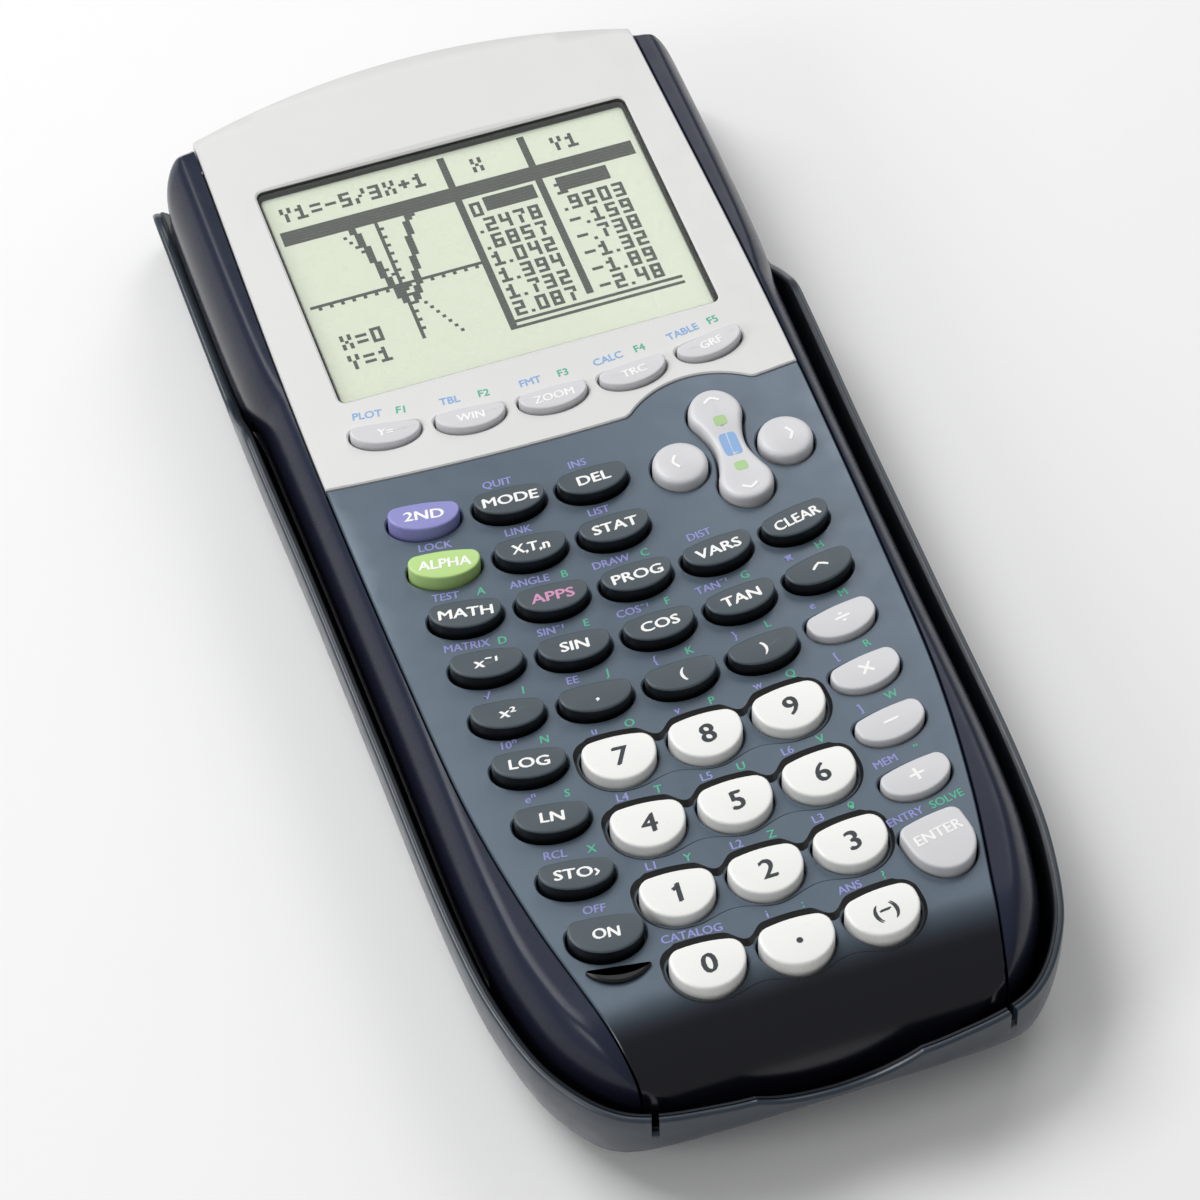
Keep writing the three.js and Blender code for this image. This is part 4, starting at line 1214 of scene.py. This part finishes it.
def cover():
    """The slide cover: a tray, low beside the screen, with a rounded lip, a finger dip and two slits."""
    stations = []
    for y in [93, 92.6, 92.2, 91.6, 91, 90, 89, *np.arange(86, 52, -3), *np.arange(51, 34, -1),
              *np.arange(33, -70, -2.5)]:
        stations.append(((x_at(rim_side, y), float(y)), (0.0, float(y))))
    end = [q for q in even(rim_side[rim_side[:, 1] < -68], 0.9) if q[1] < -70]
    cuts = [edge + side for edge in (SLIT["from"], SLIT["to"]) for side in (-0.0001, 0.0001)]
    end += [(x, y_at(rim_side, x)) for x in cuts + [11.6, 11.2]]
    end.sort(key=lambda q: (-q[0]))
    stations += [(q, (0.0, -70.0)) for q in end]
    mould = Mould()
    insets = [0.0, 0.03, 0.1, 0.25, 0.5, 0.9, 1.4, 2.0, 2.8, 3.8, 5.0, 6.5, 8.5]
    lip = [(0.0, 0.5), (0.04, 0.24), (0.16, 0.06), (0.36, 0.0)]
    lip += [(1 - share, down) for share, down in lip[::-1]]
    for side in (1, -1):
        outer_rows, inner_rows = [], []
        for (px, py), (ax, ay) in stations:
            near = rim_side[np.argsort(((rim_side - (px, py)) ** 2).sum(1))[:2]]
            along = near[0] - near[1]
            normal = np.array([-along[1], along[0]]) / np.linalg.norm(along)
            if normal @ (np.array([ax, ay]) - (px, py)) < 0:
                normal = -normal
            if px < 0.5:
                normal = np.array([0.0, 1.0])

            def at(d):
                if d <= 8.5:
                    return np.array([px, py]) + normal * d
                t = (d - 8.5) / 3
                return (np.array([px, py]) + normal * 8.5) * (1 - t) + np.array([ax, ay]) * t

            top = rim_height(px, py)

            def start(height, first):
                if height(*at(first)) <= top - 0.5:
                    return first
                low, high = first, 8.0
                for _ in range(24):
                    mid = (low + high) / 2
                    low, high = (mid, high) if height(*at(mid)) > top - 0.5 else (low, mid)
                return high

            s0 = start(cover_z, 0.0)
            s1 = max(start(cover_inner_z, LIP), s0 + 1.2)
            outer, inner = [], []
            for share, down in lip[:4]:
                outer.append((*at(s0 + (s1 - s0) * share), top - down))
            for share, down in lip[4:][::-1]:
                inner.append((*at(s0 + (s1 - s0) * share), top - down))
            outer.reverse()
            for d in insets:
                q = at(s0 + (8.5 - s0) * d / 8.5)
                outer.append((*q, cover_z(*q) if d or s0 else min(cover_z(*q), top - 0.6)))
                q = at(s1 + (8.5 - s1) * d / 8.5)
                inner.append((*q, min(cover_inner_z(*q), top - 0.55)))
            for t in (1, 2, 3):
                q = at(8.5 + t)
                outer.append((*q, cover_z(*q)))
                inner.append((*q, cover_inner_z(*q)))
            outer_rows.append([(side * x, y, z) for x, y, z in outer])
            inner_rows.append([(side * x, y, z) for x, y, z in inner])
        outer_made = [mould.ring(r) for r in outer_rows]
        inner_made = [mould.ring(r) for r in inner_rows]
        mould.loft(outer_made, 0, closed=False)
        # The inside faces and the lip's inner half take the darker inside paint, painted shade.
        mould.loft(inner_made, 1, closed=False)
        for a, b, c, d in zip(outer_made, outer_made[1:], inner_made, inner_made[1:]):
            mould.face([a[0], b[0], d[0], c[0]], 0)
        mould.band(outer_made[0], inner_made[0], 0, closed=False)
    return mould.make("cover_tray", COVER, [cover_paint, cover_inside], ["slide_cover"], "cover_gloss",
                      sharp=40)


# ---- Back ----

SCREWS = [(-30.5, 80), (30.5, 80), (-31, 4), (31, 4), (-26, -70), (26, -70)]
LID_SCREW = (0, 3.4)
FEET = [(-30, 68), (30, 68), (-29, -58), (29, -58)]
DOOR_Y, LID_Y = 52, 9


def back_outline(inset, z):
    """The rear case in plan at one height, counter-clockwise from the middle of its lower end."""
    loop = [q for q in offset(rim_line[::-1], 5.4 + inset) if q[1] < 80]
    side, end_x = loop[-1][0], 30.0
    corner = [(side, 82.0 - inset)]
    end = (end_x, top_y(end_x) - 0.7 - inset)
    for t in np.linspace(0.1, 1, 10):
        corner.append(((1 - t) ** 2 * side + 2 * t * (1 - t) * side + t * t * end[0],
                       (1 - t) ** 2 * (82 - inset) + (1 - (1 - t) ** 2) * end[1]))
    top = [(x, top_y(x) - 0.7 - inset) for x in np.linspace(24, -24, 17)]
    left = [(-x, y) for x, y in corner[::-1]]
    lowest = min(range(len(loop)), key=lambda i: (round(loop[i][1], 3), abs(loop[i][0])))
    around = loop[lowest:] + corner + top + left + loop[:lowest + 1]
    end_y = float(np.interp(z - CASE_BACK_Z, sweep_line[:, 1], sweep_line[:, 0])) + 5
    return [(x, max(y, end_y)) for x, y in even(around, 1.6 * (1 - inset / 400))[:-1]]


def back_case():
    """The rear case: its wall, and the flat back with openings for the door, lid, screws and feet."""
    mould = Mould()
    profile = [(0.0, 9.5), (0.0, 7.1), (0.15, 5.9), (0.55, 4.7), (1.2, 3.7), (2.1, 3.0), (3.1, 2.65),
               (3.6, CASE_BACK_Z)]
    count = len(back_outline(0, 9.5))

    def level(inset, z, lift=0.0):
        loop = back_outline(inset, z)
        picked = [loop[round(i * len(loop) / count) % len(loop)] for i in range(count)]
        return mould.ring([(x, y, z + lift) for x, y in picked])

    outer = [level(inset, z) for inset, z in profile]
    inner = [level(1.6, 9.5), level(1.6, 7.1), level(2.5, 5.6), level(4.2, 4.1)]
    rings = outer + inner[::-1]
    mould.loft(rings + rings[:1])
    edge = back_outline(3.6, CASE_BACK_Z)
    openings = [(rounded_rectangle(48.6, 52.6, 0, DOOR_Y, 3, grow) for grow in (0, 0.3)),
                (rounded_rectangle(22, 17, 0, LID_Y, 3, grow) for grow in (0, 0.25))]
    openings += [(circle(x, y, radius, 20) for radius in (2.3, 2.6)) for x, y in SCREWS]
    openings += [(circle(x, y, radius, 28) for radius in (4.0, 4.2)) for x, y in FEET]
    plate(mould, [(edge, offset(edge, 0.02)), *map(tuple, openings)], lambda x, y: -CASE_BACK_Z,
          lambda x, y: -CASE_BACK_Z - 1.6, 4.0, chamfer=0.05, place=lambda x, y, z: (x, y, -z))
    mould.normals.clear()
    return mould.make("case_back", FIXED, [casing_paint], ["rear_case"], "casing_dark")


def battery_hatch():
    """The battery door with the ribs of its thumb grip."""
    door = Mould()
    levels = [(0, 4.2), (0, 2.85), (-0.25, CASE_BACK_Z)]
    door.solid([[(*q, z) for q in rounded_rectangle(48.0, 52.0, 0, DOOR_Y, 3, grow)] for grow, z in levels])
    for k in range(7):
        size = (16 - abs(k - 3) * 1.2, 0.7, 0, 71.2 - k * 1.5, 0.3)
        levels = [(0, 2.7), (0, 2.35), (-0.15, 2.2)]
        door.solid([[(*q, z) for q in rounded_rectangle(*size, grow, 3)] for grow, z in levels])
    door.make("battery_hatch", FIXED, [casing_paint], ["battery_door"], "casing_dark")


def backup_cell_lid():
    lid = Mould()
    levels = [(0, 4.0), (0, 2.8), (-0.25, CASE_BACK_Z)]
    lid.solid([[(*q, z) for q in rounded_rectangle(21.4, 16.4, 0, LID_Y, 2.7, grow)] for grow, z in levels])
    lid.make("backup_cell_lid", FIXED, [casing_paint])


def case_screws():
    """Screws with a cross recess, sunk in the case and flush in the lid."""
    screws = Mould()
    for x, y in [*SCREWS, LID_SCREW]:
        depth = CASE_BACK_Z if (x, y) == LID_SCREW else 3.4
        rings = [(2.0, depth + 1.6), (2.0, depth + 0.25), (1.7, depth), (0.95, depth)]
        made = [screws.ring([(*q, z) for q in circle(x, y, r, 20)]) for r, z in rings]
        screws.loft(made)
        screws.face(made[0][::-1])
        cross = []
        for k in range(20):
            turn = 2 * math.pi * k / 20
            reach = 0.95 if k % 5 in (0, 1) else 0.42
            cross.append((x + reach * math.cos(turn), y + reach * math.sin(turn), depth + 0.7))
        pit = screws.ring(cross)
        screws.band(made[-1], pit)
        screws.face(pit)
    screws.make("case_screws", FIXED, [steel])


def case_feet():
    feet = Mould()
    for x, y in FEET:
        levels = [(3.8, 3.6), (3.8, 2.4), (3.5, 2.15), (2.6, 2.05)]
        feet.solid([[(*q, z) for q in circle(x, y, r, 28)] for r, z in levels])
    feet.make("case_feet", FIXED, [rubber])


def end_sockets():
    """The round and the flat socket in the upper end, as liners with a tongue in the flat one."""
    sockets = Mould()
    y = top_y(JACK_X) - 0.9
    rings = []
    for r, back in ((1.9, 0.2), (1.9, 6), (1.25, 6), (1.25, 0.0), (1.45, 0.0)):
        rings.append([(JACK_X + r * math.cos(t), y - back, PORT_Z + r * math.sin(t))
                      for t in np.linspace(0, 2 * math.pi, 21)[:-1]])
    made = [sockets.ring(r) for r in rings]
    sockets.loft(made + made[:1])
    y = top_y(USB_X) - 1.0

    def slab(width, tall, corner, back, lift=0.0):
        loop = rounded_rectangle(width, tall, USB_X, PORT_Z + lift, corner)
        return [(u, y - back, v) for u, v in loop]

    liner = [(7.0, 3.0, 0.8, 0.0), (7.0, 3.0, 0.8, 5.5), (6.2, 2.3, 0.6, 5.5), (6.2, 2.3, 0.6, 0.0)]
    made = [sockets.ring(slab(*row)) for row in liner]
    sockets.loft(made + made[:1])
    sockets.solid([slab(4.2, 0.7, 0.15, back, 0.1) for back in (0.8, 5.4)])
    sockets.solid([slab(7.0, 3.0, 0.8, back) for back in (5.55, 5.9)])
    sockets.make("end_sockets", FIXED, [steel])


# ---- Everything ----

rails()
bezel()
keypad()
for key in keys:
    cap(key)
    if key["legend"] or key["kind"] == "rocker":
        legend(key)
panel_marks()
rocker_marks()
display_pixels()
screen()
cover()
back_case()
battery_hatch()
backup_cell_lid()
case_screws()
case_feet()
end_sockets()
for node, paint in (("circuit_board", board_paint), ("key_membrane", silicone_paint),
                    ("battery_cells", cell_paint)):
    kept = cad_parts[node]
    kept.data.materials.clear()
    kept.data.materials.append(paint)


# ---- Stage, light and camera ----

def floor():
    mesh = bpy.data.meshes.new("floor")
    far = 3.0
    mesh.from_pydata([(-far, -far, 0), (far, -far, 0), (far, far, 0), (-far, far, 0)], [], [(0, 1, 2, 3)])
    made = bpy.data.objects.new("floor", mesh)
    bpy.context.scene.collection.objects.link(made)
    paper = material("floor_paper", (0.93, 0.93, 0.93), 0.9, grain=0.05, mottle=0.01, patches=200)
    mesh.materials.append(paper)


def area_light(name, at, aim, size, power, size_y=None):
    data = bpy.data.lights.new(name, "AREA")
    data.shape = "RECTANGLE"
    data.size, data.size_y, data.energy = size, size_y or size, power
    lamp = bpy.data.objects.new(name, data)
    lamp.location = at
    lamp.rotation_euler = (Vector(aim) - Vector(at)).to_track_quat("-Z", "Y").to_euler()
    bpy.context.scene.collection.objects.link(lamp)


floor()
area_light("key_light", (-0.45, 0.55, 1.0), (0, 0, 0), 0.7, 9)
area_light("side_light", (-0.9, -0.25, 0.55), (0, -0.02, 0.01), 0.35, 2.2)
area_light("back_light", (0.6, 0.8, 0.8), (0, 0, 0), 0.6, 3.3)
world = bpy.context.scene.world or bpy.data.worlds.new("world")
bpy.context.scene.world = world
world.use_nodes = True
backdrop = world.node_tree.nodes["Background"]
backdrop.inputs["Color"].default_value = (1, 1, 1, 1)
backdrop.inputs["Strength"].default_value = 0.32
bpy.context.scene.view_settings.view_transform = "Standard"

camera = bpy.data.cameras.new("camera")
camera.lens, camera.sensor_width = 144.0, 36.0
camera.clip_start, camera.clip_end = 0.05, 20.0
eye = bpy.data.objects.new("camera", camera)
eye.location = (-0.1266, -0.4054, 0.5504)
look = (Vector((-0.0030, -0.0059, 0.012)) - eye.location).to_track_quat("-Z", "Y")
eye.rotation_mode = "QUATERNION"
eye.rotation_quaternion = look @ Quaternion((0, 0, 1), math.radians(-2.18))
bpy.context.scene.collection.objects.link(eye)
bpy.context.scene.camera = eye
